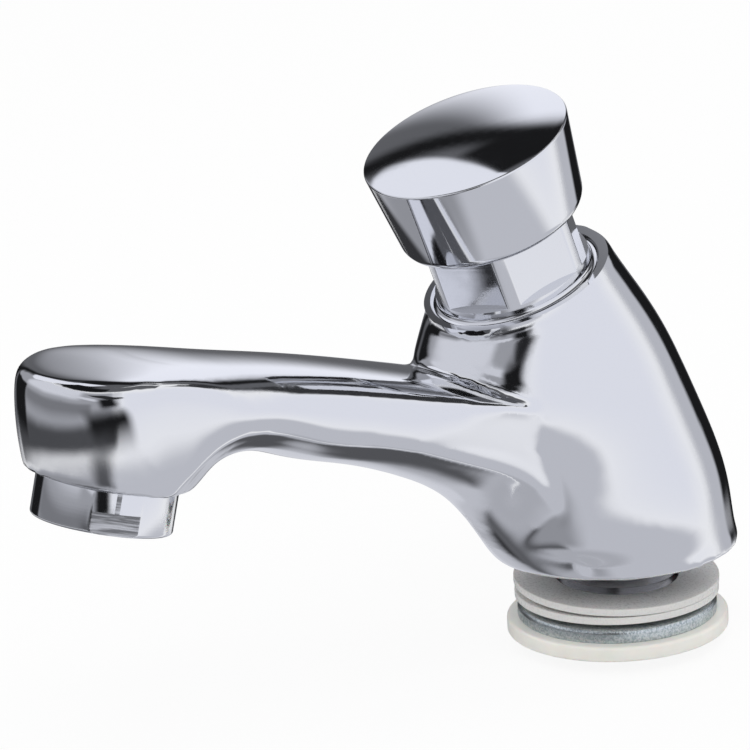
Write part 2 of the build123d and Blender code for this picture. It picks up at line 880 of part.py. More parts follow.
with BuildPart() as aerator_housing:
    turn(
        outlet_profile,
        outlet_axis,
        [
            (aerator_lip_radius, -aerator_drop),
            (aerator_radius - aerator_edge_chamfer, -aerator_drop),
            (aerator_radius, -aerator_drop + aerator_edge_chamfer),
            (aerator_radius, 0),
            (aerator_cavity_radius - thread_clearance, 0),
            (aerator_cavity_radius - thread_clearance, aerator_thread_length),
            (aerator_bore_radius, aerator_thread_length),
            (aerator_bore_radius, lip_top_height),
            (aerator_lip_radius, lip_top_height),
        ],
    )
    # Two spanner flats on the lower part of the skirt
    flat_plane = outlet_plane.rotated((0, 0, spanner_flat_turn)).offset(-aerator_drop)
    with BuildSketch(flat_plane):
        for side_sign in (-1, 1):
            with Locations((side_sign * (spanner_flat_across / 2 + cut_overrun), 0)):
                Rectangle(cut_overrun * 2, aerator_radius * 2)
    extrude(amount=spanner_flat_height, mode=Mode.SUBTRACT)

finish(aerator_housing, "aerator_housing")

with BuildPart() as aerator_screen:
    with BuildSketch(outlet_plane.offset(lip_top_height)):
        Circle(insert_radius)
        hole_reach = aerator_lip_radius - screen_hole_radius * 2
        for column in range(-screen_holes_each_way, screen_holes_each_way + 1):
            for row in range(-screen_holes_each_way, screen_holes_each_way + 1):
                x = column * screen_pitch
                y = row * screen_pitch
                if x**2 + y**2 < hole_reach**2:
                    with Locations((x, y)):
                        Rectangle(screen_hole_radius * 2, screen_hole_radius * 2, mode=Mode.SUBTRACT)
    extrude(amount=screen_thickness)

finish(aerator_screen, "aerator_screen")

# Mixer: a cup with slots in its wall and a pierced deck
with BuildPart() as air_mixer:
    turn(
        outlet_profile,
        outlet_axis,
        [
            (insert_radius - mixer_wall, screen_top),
            (insert_radius, screen_top),
            (insert_radius, mixer_top),
            (0, mixer_top),
            (0, mixer_top - mixer_deck),
            (insert_radius - mixer_wall, mixer_top - mixer_deck),
        ],
    )
    with BuildSketch(outlet_plane.offset(screen_top + mixer_wall)):
        with PolarLocations(insert_radius, mixer_slot_count):
            Rectangle(mixer_wall * 2 + cut_overrun, mixer_slot_width)
    extrude(amount=mixer_slot_height, mode=Mode.SUBTRACT)
    with BuildSketch(outlet_plane.offset(mixer_top - mixer_deck)):
        with PolarLocations(regulator_hole_circle, regulator_hole_count):
            Circle(regulator_hole_radius)
    extrude(amount=mixer_deck, mode=Mode.SUBTRACT)

finish(air_mixer, "air_mixer")

# Regulator: a pierced disc with a raised core, held down by the washer
with BuildPart() as flow_regulator:
    ring(outlet_profile, outlet_axis, 0, insert_radius, mixer_top, mixer_top + regulator_land)
    rim_inner = insert_radius - mixer_wall
    ring(outlet_profile, outlet_axis, rim_inner, insert_radius, mixer_top, aerator_thread_length)
    ring(outlet_profile, outlet_axis, 0, regulator_core_radius, mixer_top, aerator_thread_length)
    with BuildSketch(outlet_plane.offset(mixer_top)):
        with PolarLocations(regulator_hole_circle, regulator_hole_count):
            Circle(regulator_hole_radius)
    extrude(amount=regulator_land, mode=Mode.SUBTRACT)

finish(flow_regulator, "flow_regulator")

with BuildPart() as aerator_washer:
    washer_outer = aerator_cavity_radius - thread_clearance
    washer_high = aerator_thread_length + aerator_washer_thickness
    ring(outlet_profile, outlet_axis, aerator_washer_bore, washer_outer, aerator_thread_length, washer_high)

finish(aerator_washer, "aerator_washer")
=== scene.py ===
import json
from math import atan2, cos, pi, radians, sin, sqrt, tan

import bmesh
import bpy
import numpy as np
from bpy.props import FloatProperty, FloatVectorProperty, IntProperty, PointerProperty
from mathutils import Matrix, Vector


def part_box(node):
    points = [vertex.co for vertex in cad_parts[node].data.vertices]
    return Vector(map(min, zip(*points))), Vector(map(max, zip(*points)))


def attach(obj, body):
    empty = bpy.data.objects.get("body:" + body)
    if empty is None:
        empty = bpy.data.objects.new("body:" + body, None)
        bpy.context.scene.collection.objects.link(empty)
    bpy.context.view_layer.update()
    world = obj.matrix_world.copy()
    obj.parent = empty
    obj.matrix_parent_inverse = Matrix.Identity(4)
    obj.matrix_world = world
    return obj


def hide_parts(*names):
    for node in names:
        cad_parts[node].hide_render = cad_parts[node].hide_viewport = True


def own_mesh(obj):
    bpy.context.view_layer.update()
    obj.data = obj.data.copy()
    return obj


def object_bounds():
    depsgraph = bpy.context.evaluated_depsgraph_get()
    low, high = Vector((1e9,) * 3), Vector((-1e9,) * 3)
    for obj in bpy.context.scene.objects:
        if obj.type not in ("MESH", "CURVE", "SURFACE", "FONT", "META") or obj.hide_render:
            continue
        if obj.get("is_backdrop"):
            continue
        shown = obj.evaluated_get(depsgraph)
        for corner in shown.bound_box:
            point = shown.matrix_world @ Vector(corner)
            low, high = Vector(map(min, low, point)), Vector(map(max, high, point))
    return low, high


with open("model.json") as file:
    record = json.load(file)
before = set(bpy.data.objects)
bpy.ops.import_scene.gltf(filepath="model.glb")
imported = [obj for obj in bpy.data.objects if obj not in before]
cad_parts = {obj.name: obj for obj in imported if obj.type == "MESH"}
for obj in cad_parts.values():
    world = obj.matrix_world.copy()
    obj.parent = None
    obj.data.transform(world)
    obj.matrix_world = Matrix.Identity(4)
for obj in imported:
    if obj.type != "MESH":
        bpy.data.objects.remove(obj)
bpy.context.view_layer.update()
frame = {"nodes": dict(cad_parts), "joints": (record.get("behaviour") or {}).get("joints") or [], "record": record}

bl_info = {
    "name": "Push timed tap",
    "version": (1, 0, 0),
    "blender": (4, 5, 0),
    "location": "3D View > Sidebar > Tap",
    "description": "Dresses the packed parts of a push timed basin tap with shapes and finishes",
    "category": "Object",
}

MILLIMETRE = 0.001
NODES = frame["nodes"]
SLOTS = {part["node"]: part["material_slot"] for part in frame["record"]["subparts"]}
PRESS_AXIS = Vector(frame["joints"][0]["axis"])
VALVE_UP = -PRESS_AXIS
SIDE = Vector((1, 0, 0))
UPRIGHT = Vector((0, 0, 1))


# Sizes and colours that a user would change


def size(name, description, millimetres):
    """A length property whose default is given in millimetres."""
    metres = millimetres * MILLIMETRE
    return FloatProperty(
        name=name, description=description, default=metres, unit="LENGTH", subtype="DISTANCE", precision=5
    )


def turn_angle(name, description, degrees):
    """An angle property whose default is given in degrees."""
    turn = radians(degrees)
    return FloatProperty(name=name, description=description, default=turn, unit="ROTATION", subtype="ANGLE")


def plain(name, description, value):
    """A property that is a share or another number with no unit."""
    return FloatProperty(name=name, description=description, default=value)


def whole(name, description, value, least=0):
    """A property that counts something."""
    return IntProperty(name=name, description=description, default=value, min=least)


def tint(name, description, colour):
    """A colour property."""
    return FloatVectorProperty(
        name=name, description=description, default=colour, subtype="COLOR", size=3, min=0, max=1
    )


class BodySizes(bpy.types.PropertyGroup):
    """Sizes of the cast body."""

    grain: size("Mesh size", "Size of the skin's faces", 0.58)
    rim_bevel: size("Rim bevel", "Bevel around the mouth of the collar", 0.5)
    recess_radius: size("Recess radius", "Radius of the recess that the gland sits in", 14.3)
    recess_depth: size("Recess depth", "Depth of the recess that the gland sits in", 3.4)
    bore_radius: size("Bore radius", "Radius of the cartridge bore", 11.0)
    collar_radius: size("Collar radius", "Outer radius of the collar's rim", 15.95)
    plug_height: size("Plug height", "How far the plug that closes the collar stands up", 3.0)
    softening: whole("Softening", "Rounds of smoothing on the casting", 60)
    crown_softening: whole("Crown softening", "Further rounds along the spout's top edges", 50)
    foot_soft_height: size("Foot edge", "Height over which the foot's lower edge is softened", 3.0)
    foot_inside: size("Foot inside", "Radius inside which the foot's underside is left as it is", 14.0)
    foot_softening: whole("Foot softening", "Further rounds along the foot's lower edge", 24)
    belly: size("Belly", "How far the spout's walls draw in at their top and bottom edges", 0.8)
    belly_start: size("Belly start", "Distance in front of the inlet where the walls start to belly", 40.0)
    head_centre: size("Head centre", "Distance of the head's centre in front of the inlet", 88.0)
    crown_share: plain("Crown share", "Height where the crown starts, as a share of the spout's top", 0.72)


class NeckSizes(bpy.types.PropertyGroup):
    """Sizes of the gland nut."""

    height: size("Height", "Height of the neck above its flange", 12.8)
    flange: size("Flange", "Thickness of the flange", 2.2)
    radius: size("Radius", "Radius of the turned neck", 13.4)
    across_flats: size("Across flats", "Width across the spanner flats", 24.2)
    flat_start: size("Flat start", "Height above the flange where the flats start", 2.1)
    flat_turn: turn_angle("Flat turn", "Turn of the six flats about the valve axis", -9.0)
    cove: size("Cove", "Radius of the cove above the flange", 0.9)
    edge: size("Edge", "Rounding of the turned edges", 0.35)
    roof: size("Roof", "Thickness of the roof around the stem", 4.0)
    stem_bore: size("Stem bore", "Radius of the hole for the stem", 4.05)
    inner_radius: size("Inner radius", "Radius of the space inside the nut", 8.2)
    nose_radius: size("Nose radius", "Radius of the nose that screws into the bore", 10.95)


class CapSizes(bpy.types.PropertyGroup):
    """Sizes of the push cap."""

    height: size("Height", "Height of the skirt", 15.9)
    foot_radius: size("Foot radius", "Radius of the skirt at its foot", 15.7)
    edge_radius: size("Edge radius", "Radius of the skirt at its top edge", 17.65)
    dome_radius: size("Dome radius", "Radius of the shallow dome", 62.0)
    edge_round: size("Edge rounding", "Rounding of the top edge", 0.35)
    foot_round: size("Foot rounding", "Rounding of the skirt's foot", 2.4)
    wall: size("Wall", "Thickness of the skirt", 1.7)
    roof: size("Roof", "Thickness of the roof", 2.7)
    boss_radius: size("Boss radius", "Outer radius of the boss", 7.45)
    boss_bore: size("Boss bore", "Radius of the boss's bore for its bush", 5.25)
    boss_low: size("Boss foot", "Height of the boss's foot above the skirt's foot", 9.9)
    bush_top: size("Bush seat", "Height of the bore's end above the skirt's foot", 12.7)


class AeratorSizes(bpy.types.PropertyGroup):
    """Sizes of the aerator."""

    tilt: turn_angle("Tilt", "Lean of the outlet's axis", 15.4)
    skirt: size("Skirt", "Height of the housing below the spout", 7.0)
    radius: size("Radius", "Outer radius of the skirt", 11.5)
    thread_radius: size("Thread radius", "Radius of the housing's thread", 10.35)
    bore_radius: size("Bore radius", "Radius of the housing's bore", 9.0)
    lip_radius: size("Lip radius", "Radius of the opening in the lip", 8.1)
    lip: size("Lip", "Thickness of the lip", 0.9)
    edge: size("Edge", "Rounding of the lower edge", 0.6)
    flat_across: size("Across flats", "Width across the two spanner flats", 21.6)
    flat_height: size("Flat height", "Height of the spanner flats", 3.6)
    flat_turn: turn_angle("Flat turn", "Turn of the flats about the outlet's axis", -25.0)
    mesh_pitch: size("Mesh pitch", "Spacing of the screen's wires", 0.9)
    mesh_wire: size("Mesh wire", "Radius of the screen's wires", 0.14)


class ClampSizes(bpy.types.PropertyGroup):
    """Sizes of the shank and of what clamps the tap to its deck."""

    crest_radius: size("Thread crest", "Radius over the thread's crests", 10.4775)
    pitch: size("Pitch", "Pitch of the thread", 1.814)
    bore_radius: size("Bore", "Radius of the shank's bore", 7.5)
    shoulder: size("Shoulder", "Height of the plain shoulder under the body", 2.2)
    groove: size("Groove", "Height of the groove under the shoulder", 1.3)
    groove_depth: size("Groove depth", "Depth of the groove under the shoulder", 1.1)
    lead_in: size("Lead-in", "Length of the turned-down end below the thread", 2.7)
    washer_edge: size("Washer edge", "Rounding of the plastic washers", 0.2)
    washer: size("Washer", "Thickness of the plastic washers", 1.3)
    washer_play: size("Washer play", "Gap between the thread and the washers", 0.35)
    nut_play: size("Nut play", "Gap between the thread and the nut's hub", 0.08)
    lean: turn_angle("Lean", "Lean of the upper washer on the lower one", 2.3)
    lean_turn: turn_angle("Lean turn", "Direction that the upper washer's axis leans to", 12.0)
    steel_edge: size("Steel edge", "Rounding of the steel washer's top edge", 0.9)
    web: size("Web", "Thickness of the nut's web", 1.3)
    hub_height: size("Hub height", "Height of the nut's hub", 2.0)
    hub_wall: size("Hub wall", "Wall of the nut's hub", 2.4)
    rim_wall: size("Rim wall", "Wall of the nut's rim", 1.4)
    rib: size("Rib", "Thickness of the nut's ribs", 1.2)
    rib_count: whole("Ribs", "How many ribs join the hub and the rim", 8, 2)


class SpringSizes(bpy.types.PropertyGroup):
    """Sizes of the return spring."""

    wire: size("Wire", "Radius of the wire", 0.45)
    turns: plain("Turns", "How many turns the spring has", 6.0)


class FinishColours(bpy.types.PropertyGroup):
    """Colours of the finishes."""

    chrome: tint("Chrome", "Polished chrome plate", (0.80, 0.81, 0.84))
    neck: tint("Neck chrome", "Turned and plated brass", (0.78, 0.79, 0.82))
    steel: tint("Steel", "Turned stainless steel", (0.58, 0.58, 0.57))
    # Painted shade: the shank is chrome, and this dark colour stands in for the shade it sits in under the body
    shank: tint("Shank", "Dark plated shank", (0.34, 0.34, 0.35))
    zinc: tint("Zinc", "Zinc plated steel", (0.62, 0.66, 0.67))
    zinc_dull: tint("Dull zinc", "Passivated patches on the zinc", (0.38, 0.44, 0.46))
    brass: tint("Brass", "Bare machined brass", (0.78, 0.60, 0.30))
    rubber: tint("Rubber", "Black seals", (0.022, 0.022, 0.024))
    washer: tint("Washer", "Off-white plastic washers", (0.66, 0.655, 0.64))
    cream: tint("Cream plastic", "Translucent plastic of the flanged nut", (0.80, 0.79, 0.74))
    acetal: tint("Acetal", "Natural plastic inside the cartridge", (0.86, 0.85, 0.80))
    grey: tint("Grey plastic", "Plastic of the aerator's insert", (0.36, 0.37, 0.38))


class StageSizes(bpy.types.PropertyGroup):
    """Camera, floor and lights."""

    lens: plain("Lens", "Focal length of the camera on a 36 mm sensor", 231.09)
    azimuth: turn_angle("Azimuth", "Turn of the camera about the vertical", 53.279)
    elevation: turn_angle("Elevation", "Height of the camera above the horizon", 17.081)
    roll: turn_angle("Roll", "Roll of the camera", -2.892)
    camera_place: FloatVectorProperty(
        name="Camera place", description="Where it stands", default=(0.6064, -0.5022, 0.2739), size=3
    )
    ambient: plain("Ambient", "Strength of the plain light from all round", 0.62)
    floor_size: size("Floor", "Width of the floor", 6000.0)
    floor_gap: size("Floor gap", "Gap between the nut and the floor", 0.05)
    floor_tint: tint("Floor", "Colour of the floor", (0.90, 0.90, 0.90))


# Meshes

SAME_PLACE = 1e-7
HAIRLINE = MILLIMETRE * 0.01
# Steps round a turned piece
COARSE, ROUND, SMOOTH, FINE = 96, 192, 256, 360


def node_points(name):
    """Corners of a CAD node as an array."""
    mesh = NODES[name].data
    points = np.empty(len(mesh.vertices) * 3)
    mesh.vertices.foreach_get("co", points)
    return points.reshape(-1, 3)


class Seat:
    """Where a turned CAD node sits: a matrix with its foot as origin and its axis as Z, and its sizes."""

    def __init__(self, name, axis):
        axis = Vector(axis).normalized()
        side = (SIDE - axis * SIDE.dot(axis)).normalized()
        other = axis.cross(side)
        spans = node_points(name) @ np.array([side, other, axis]).T
        low, high = spans.min(0), spans.max(0)
        middle = (low + high) / 2
        foot = side * middle[0] + other * middle[1] + axis * low[2]
        self.length = high[2] - low[2]
        self.radius = (high[0] - low[0]) / 2
        self.foot = foot
        self.place = Matrix((side, other, axis)).transposed().to_4x4()
        self.place.translation = foot

    def raised(self, height):
        """The node's matrix moved up its axis."""
        return self.place @ Matrix.Translation((0, 0, height))


def rounded(corners, steps=5):
    """Rounds a closed outline of (radius, height, rounding) corners. Gives (radius, height) points."""
    outline = []
    count = len(corners)
    for index, (x, z, rounding) in enumerate(corners):
        here = complex(x, z)
        if rounding <= 0:
            outline.append((x, z))
            continue
        before = complex(*corners[index - 1][:2]) - here
        after = complex(*corners[(index + 1) % count][:2]) - here
        before /= abs(before)
        after /= abs(after)
        half = abs(np.angle(after / before)) / 2
        middle = before + after
        middle /= abs(middle)
        centre = here + middle * rounding / sin(half)
        start = here + before * rounding / tan(half) - centre
        sweep = np.angle((here + after * rounding / tan(half) - centre) / start)
        for step in range(steps + 1):
            point = centre + start * np.exp(1j * sweep * step / steps)
            outline.append((max(point.real, 0), point.imag))
    return outline


def placed(name, data):
    """Links a new object to the scene."""
    thing = bpy.data.objects.new(name, data)
    bpy.context.scene.collection.objects.link(thing)
    return thing


def new_piece(name, mesh, sharp=30.0):
    """Links a mesh as a piece, with faces outwards and edges sharp past an angle."""
    work = bmesh.new()
    work.from_mesh(mesh)
    bmesh.ops.recalc_face_normals(work, faces=work.faces)
    work.to_mesh(mesh)
    work.free()
    mesh.shade_smooth()
    mesh.set_sharp_from_angle(angle=radians(sharp))
    return placed(name, mesh)


def lathe_mesh(name, place, outline, steps=ROUND, reach=None):
    """Turns an outline of (radius, height) points about the Z axis of place. reach can draw a radius in."""
    corners = []
    rings = []
    for radius, height in outline:
        if radius <= 0:
            rings.append([len(corners)] * steps)
            corners.append((0, 0, height))
            continue
        rings.append(range(len(corners), len(corners) + steps))
        for step in range(steps):
            angle = 2 * pi * step / steps
            out = reach(angle, radius, height) if reach else radius
            corners.append((out * cos(angle), out * sin(angle), height))
    faces = []
    for ring, after in zip(rings, rings[1:] + rings[:1]):
        for step in range(steps):
            near, far = step, (step + 1) % steps
            face = list(dict.fromkeys((ring[near], ring[far], after[far], after[near])))
            if len(face) > 2:
                faces.append(face)
    mesh = bpy.data.meshes.new(name)
    mesh.from_pydata(corners, [], faces)
    mesh.transform(place)
    return mesh


def dress(piece, body, material, *nodes):
    """Gives a piece its material, a body to ride on, and the CAD nodes that it replaces."""
    if not piece.data.materials:
        piece.data.materials.append(material)
    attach(piece, body)
    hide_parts(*nodes)
    return piece


def evaluated_mesh(piece):
    """The mesh that a piece's modifiers give, as a plain mesh."""
    bpy.context.view_layer.update()
    graph = bpy.context.evaluated_depsgraph_get()
    return bpy.data.meshes.new_from_object(piece.evaluated_get(graph))


def merged_copy(name):
    """A copy of a CAD node's mesh with its loose triangles joined."""
    work = bmesh.new()
    work.from_mesh(NODES[name].data)
    bmesh.ops.remove_doubles(work, verts=work.verts, dist=SAME_PLACE)
    mesh = bpy.data.meshes.new(name + "_copy")
    work.to_mesh(mesh)
    work.free()
    return mesh


def joined(first, second):
    """Turns the faces of a mesh outwards and puts those of a second mesh behind them."""
    work = bmesh.new()
    work.from_mesh(first)
    bmesh.ops.recalc_face_normals(work, faces=work.faces)
    work.from_mesh(second)
    work.to_mesh(first)
    work.free()


def ramp(values, start, length):
    """Rises from 0 at start to 1 over a length."""
    return np.clip((values - start) / length, 0, 1)


def bellied(points, sizes):
    """Draws the spout's walls in at their top and bottom edges, so that they are slightly round."""
    slab_step, slab_half, wall_share = MILLIMETRE * 2, MILLIMETRE * 1.5, 0.8
    pull_start, pull_length = 0.6, 0.3
    ahead = -points[:, 1]
    steps = np.arange(sizes.belly_start, ahead.max(), slab_step)
    low, high, wide = [], [], []
    for start in steps:
        slab = points[np.abs(ahead - start - slab_step / 2) < slab_half]
        half = np.abs(slab[:, 0]).max()
        wall = slab[np.abs(slab[:, 0]) > half * wall_share]
        low.append(wall[:, 2].min())
        high.append(wall[:, 2].max())
        wide.append(half)
    steps = steps + slab_step / 2
    foot, top = np.interp(ahead, steps, low), np.interp(ahead, steps, high)
    radius = np.where(ahead < sizes.head_centre, np.interp(ahead, steps, wide), np.max(wide))
    out = np.stack([points[:, 0], -np.maximum(ahead - sizes.head_centre, 0)], 1)
    reach = np.maximum(np.linalg.norm(out, axis=1), SAME_PLACE)
    share = ramp(points[:, 2], foot, top - foot) * 2 - 1
    near_wall = ramp(reach / radius, pull_start, pull_length)
    onset = ramp(ahead, sizes.belly_start, sizes.belly_start / 2)
    pull = sizes.belly * share**2 * near_wall * onset
    points[:, :2] -= out / reach[:, None] * pull[:, None]


def polished(mesh, sizes):
    """Smooths a dense mesh as polishing does: all over, then along the crown and the foot's edge."""
    count = len(mesh.vertices)
    points = np.empty(count * 3)
    mesh.vertices.foreach_get("co", points)
    points = points.reshape(-1, 3)
    edges = np.empty(len(mesh.edges) * 2, int)
    mesh.edges.foreach_get("vertices", edges)
    ends = edges.reshape(-1, 2)
    tail = np.concatenate((ends[:, 0], ends[:, 1]))
    head = np.concatenate((ends[:, 1], ends[:, 0]))
    degree = np.bincount(tail, minlength=count)[:, None]

    def soften(step):
        mean = np.stack([np.bincount(tail, points[head, axis], count) for axis in range(3)], 1) / degree
        return points + step * (mean - points)

    # A step in and one back out smooth the skin without shrinking it
    step_in, step_out = 0.5, -0.51
    for _ in range(sizes.softening):
        points = soften(step_in)
        points = soften(step_out)
    # The spout's top rises to the head. These are shares of its length and of the body's height
    crown_start, crown_onset, top_at_barrel, top_bend, crown_fade = 0.30, 0.12, 0.52, 0.8, 0.12
    low, high = (np.array(corner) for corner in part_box("body"))
    forward = ramp(-points[:, 1], -low[1] * crown_start, -low[1] * crown_onset)
    rise = np.clip(points[:, 1] / low[1], 0, 1) ** top_bend
    top = high[2] * (top_at_barrel + (1 - top_at_barrel) * rise)
    upper = ramp(points[:, 2], top * sizes.crown_share, top * crown_fade)
    crown = (forward * upper)[:, None]
    for _ in range(sizes.crown_softening):
        points = soften(step_in * crown)
    outside = np.linalg.norm(points[:, :2], axis=1) > sizes.foot_inside
    foot_edge = np.clip(2 - 2 * points[:, 2] / sizes.foot_soft_height, 0, 1) * outside
    for _ in range(sizes.foot_softening):
        points = soften(step_in * foot_edge[:, None])
    bellied(points, sizes)
    mesh.vertices.foreach_set("co", points.ravel())
    mesh.update()


# Node trees

NUMBER_SOCKETS = {float: "NodeSocketFloat", int: "NodeSocketInt"}


class Graph:
    """Adds nodes to a tree and joins their sockets."""

    def __init__(self, tree):
        self.tree = tree

    def add(self, kind, sockets=None, **settings):
        node = self.tree.nodes.new(kind)
        for key, value in settings.items():
            setattr(node, key, value)
        for key, value in (sockets or {}).items():
            if isinstance(value, bpy.types.NodeSocket):
                self.tree.links.new(value, node.inputs[key])
            else:
                node.inputs[key].default_value = value
        return node

    def out(self, kind, sockets=None, **settings):
        """Adds a node and gives its first output."""
        return self.add(kind, sockets, **settings).outputs[0]

    def math(self, operation, first, second):
        return self.out("ShaderNodeMath", {0: first, 1: second}, operation=operation)

    def join(self, output, socket):
        self.tree.links.new(output, socket)


def new_tree(name, kind, inputs, outputs):
    """A node group. Inputs have a default number or a socket type, and outputs a socket type."""
    tree = bpy.data.node_groups.new(name, kind)
    for label, value in inputs.items():
        socket_type = NUMBER_SOCKETS.get(type(value), value)
        socket = tree.interface.new_socket(name=label, in_out="INPUT", socket_type=socket_type)
        if socket_type != value:
            socket.default_value = value
    for label, socket_type in outputs.items():
        tree.interface.new_socket(name=label, in_out="OUTPUT", socket_type=socket_type)
    graph = Graph(tree)
    return graph, graph.add("NodeGroupInput").outputs, graph.add("NodeGroupOutput").inputs


def geometry_tree(name, inputs):
    """A geometry tree with named numbers and a material as inputs, and a geometry as its output."""
    inputs = {**inputs, "Material": "NodeSocketMaterial"}
    return new_tree(name, "GeometryNodeTree", inputs, {"Geometry": "NodeSocketGeometry"})


def painted(graph, geometry, given, result):
    """Ends a geometry tree: instances made real, and the material set."""
    real = graph.out("GeometryNodeRealizeInstances", {"Geometry": geometry})
    coated = graph.out("GeometryNodeSetMaterial", {"Geometry": real, "Material": given["Material"]})
    graph.join(coated, result[0])
    return graph.tree


def piped(graph, curve, sides, given, result):
    """Ends a geometry tree whose curves become round wires."""
    wire = {"Resolution": sides, "Radius": given["Wire Radius"]}
    section = graph.out("GeometryNodeCurvePrimitiveCircle", wire, mode="RADIUS")
    pipe = {"Curve": curve, "Profile Curve": section, "Fill Caps": True}
    return painted(graph, graph.out("GeometryNodeCurveToMesh", pipe), given, result)


def grow(name, tree, place, **values):
    """Runs a geometry tree with its named inputs on an empty mesh, and gives its result as a plain mesh."""
    holder = placed(name + "_holder", bpy.data.meshes.new(name + "_holder"))
    modifier = holder.modifiers.new(name, "NODES")
    modifier.node_group = tree
    sockets = {item.name: item.identifier for item in tree.interface.items_tree if item.in_out == "INPUT"}
    for key, value in values.items():
        modifier[sockets[key.replace("_", " ")]] = value
    mesh = evaluated_mesh(holder)
    bpy.data.objects.remove(holder)
    mesh.transform(place)
    return mesh


def coil_tree():
    """Geometry tree of a wire that winds up as a helix."""
    numbers = {"Turns": 6.0, "Coil Radius": 0.006, "Height": 0.01, "Wire Radius": 0.0005}
    numbers.update({"Sides": 16, "Steps": 64})
    graph, given, result = geometry_tree("Coil", numbers)
    radius = given["Coil Radius"]
    winding = {"Start Radius": radius, "End Radius": radius, "Height": given["Height"]}
    winding.update({"Resolution": given["Steps"], "Rotations": given["Turns"]})
    spiral = graph.out("GeometryNodeCurveSpiral", winding)
    upright = graph.out("GeometryNodeSetCurveNormal", {"Curve": spiral}, mode="Z_UP")
    return piped(graph, upright, given["Sides"], given, result)


def screen_tree():
    """Geometry tree of a round wire screen."""
    numbers = {"Radius": 0.009, "Pitch": 0.0009, "Wire Radius": 0.00014}
    graph, given, result = geometry_tree("Wire screen", numbers)
    width = graph.math("MULTIPLY", given["Radius"], 2.0)
    lines = graph.math("ADD", graph.math("DIVIDE", width, given["Pitch"]), 1.0)
    square = {"Size X": width, "Size Y": width, "Vertices X": lines, "Vertices Y": lines}
    grid = graph.out("GeometryNodeMeshGrid", square)
    place = graph.out("GeometryNodeInputPosition")
    reach = graph.add("ShaderNodeVectorMath", {0: place}, operation="LENGTH").outputs["Value"]
    outside = graph.math("GREATER_THAN", reach, given["Radius"])
    trimmed = graph.out("GeometryNodeDeleteGeometry", {"Geometry": grid, "Selection": outside})
    wires = graph.out("GeometryNodeMeshToCurve", {"Mesh": trimmed})
    return piped(graph, wires, 5, given, result)


def rib_tree():
    """Geometry tree of straight ribs set round a hub."""
    numbers = {"Count": 8, "Middle Radius": 0.015, "Length": 0.005, "Thickness": 0.0012, "Height": 0.001}
    graph, given, result = geometry_tree("Ribs", numbers)
    ring = {"Vertices": given["Count"], "Radius": given["Middle Radius"]}
    circle = graph.out("GeometryNodeMeshCircle", ring)
    bulk = {"X": given["Length"], "Y": given["Thickness"], "Z": given["Height"]}
    rib = graph.out("GeometryNodeMeshCube", {"Size": graph.out("ShaderNodeCombineXYZ", bulk)})
    out = {"Vector": graph.out("GeometryNodeInputPosition")}
    facing = graph.out("FunctionNodeAlignRotationToVector", out, axis="X", pivot_axis="Z")
    spread = {"Points": circle, "Instance": rib, "Rotation": facing}
    return painted(graph, graph.out("GeometryNodeInstanceOnPoints", spread), given, result)


# Finishes


def height_and_mask(graph, noise, low, high, result):
    """Ends a shader group: its noise as a height, and the noise's higher part as a mask."""
    mask = graph.out("ShaderNodeMapRange", {"Value": noise, "From Min": low, "From Max": high})
    graph.join(noise, result["Height"])
    graph.join(mask, result["Mask"])
    return graph.tree


def wear_group():
    """Shader group: roughness that drifts over the surface, and a fine relief."""
    graph, given, result = new_tree(
        "Fine wear",
        "ShaderNodeTree",
        {"Vector": "NodeSocketVector", "Scale": 400.0, "Roughness": 0.1, "Spread": 0.03},
        dict.fromkeys(("Roughness", "Height", "Mask"), "NodeSocketFloat"),
    )
    grain = {"Vector": given["Vector"], "Scale": given["Scale"], "Detail": 6.0}
    noise = graph.out("ShaderNodeTexNoise", grain)
    span = {"From Min": 0.3, "From Max": 0.7}
    span["To Min"] = graph.math("SUBTRACT", given["Roughness"], given["Spread"])
    span["To Max"] = graph.math("ADD", given["Roughness"], given["Spread"])
    graph.join(graph.out("ShaderNodeMapRange", {"Value": noise, **span}), result["Roughness"])
    return height_and_mask(graph, noise, 0.42, 0.62, result)


def line_group():
    """Shader group: fine uneven lines across the vector's Z axis, as a lathe or a mill leaves them."""
    graph, given, result = new_tree(
        "Tool lines",
        "ShaderNodeTree",
        {"Vector": "NodeSocketVector", "Lines": 4000.0, "Break": 0.02},
        dict.fromkeys(("Height", "Mask"), "NodeSocketFloat"),
    )
    stretch = graph.out("ShaderNodeCombineXYZ", {"X": given["Break"], "Y": given["Break"], "Z": 1.0})
    drawn = graph.out("ShaderNodeVectorMath", {0: given["Vector"], 1: stretch}, operation="MULTIPLY")
    noise = graph.out("ShaderNodeTexNoise", {"Vector": drawn, "Scale": given["Lines"], "Detail": 3.0})
    return height_and_mask(graph, noise, 0.4, 0.6, result)


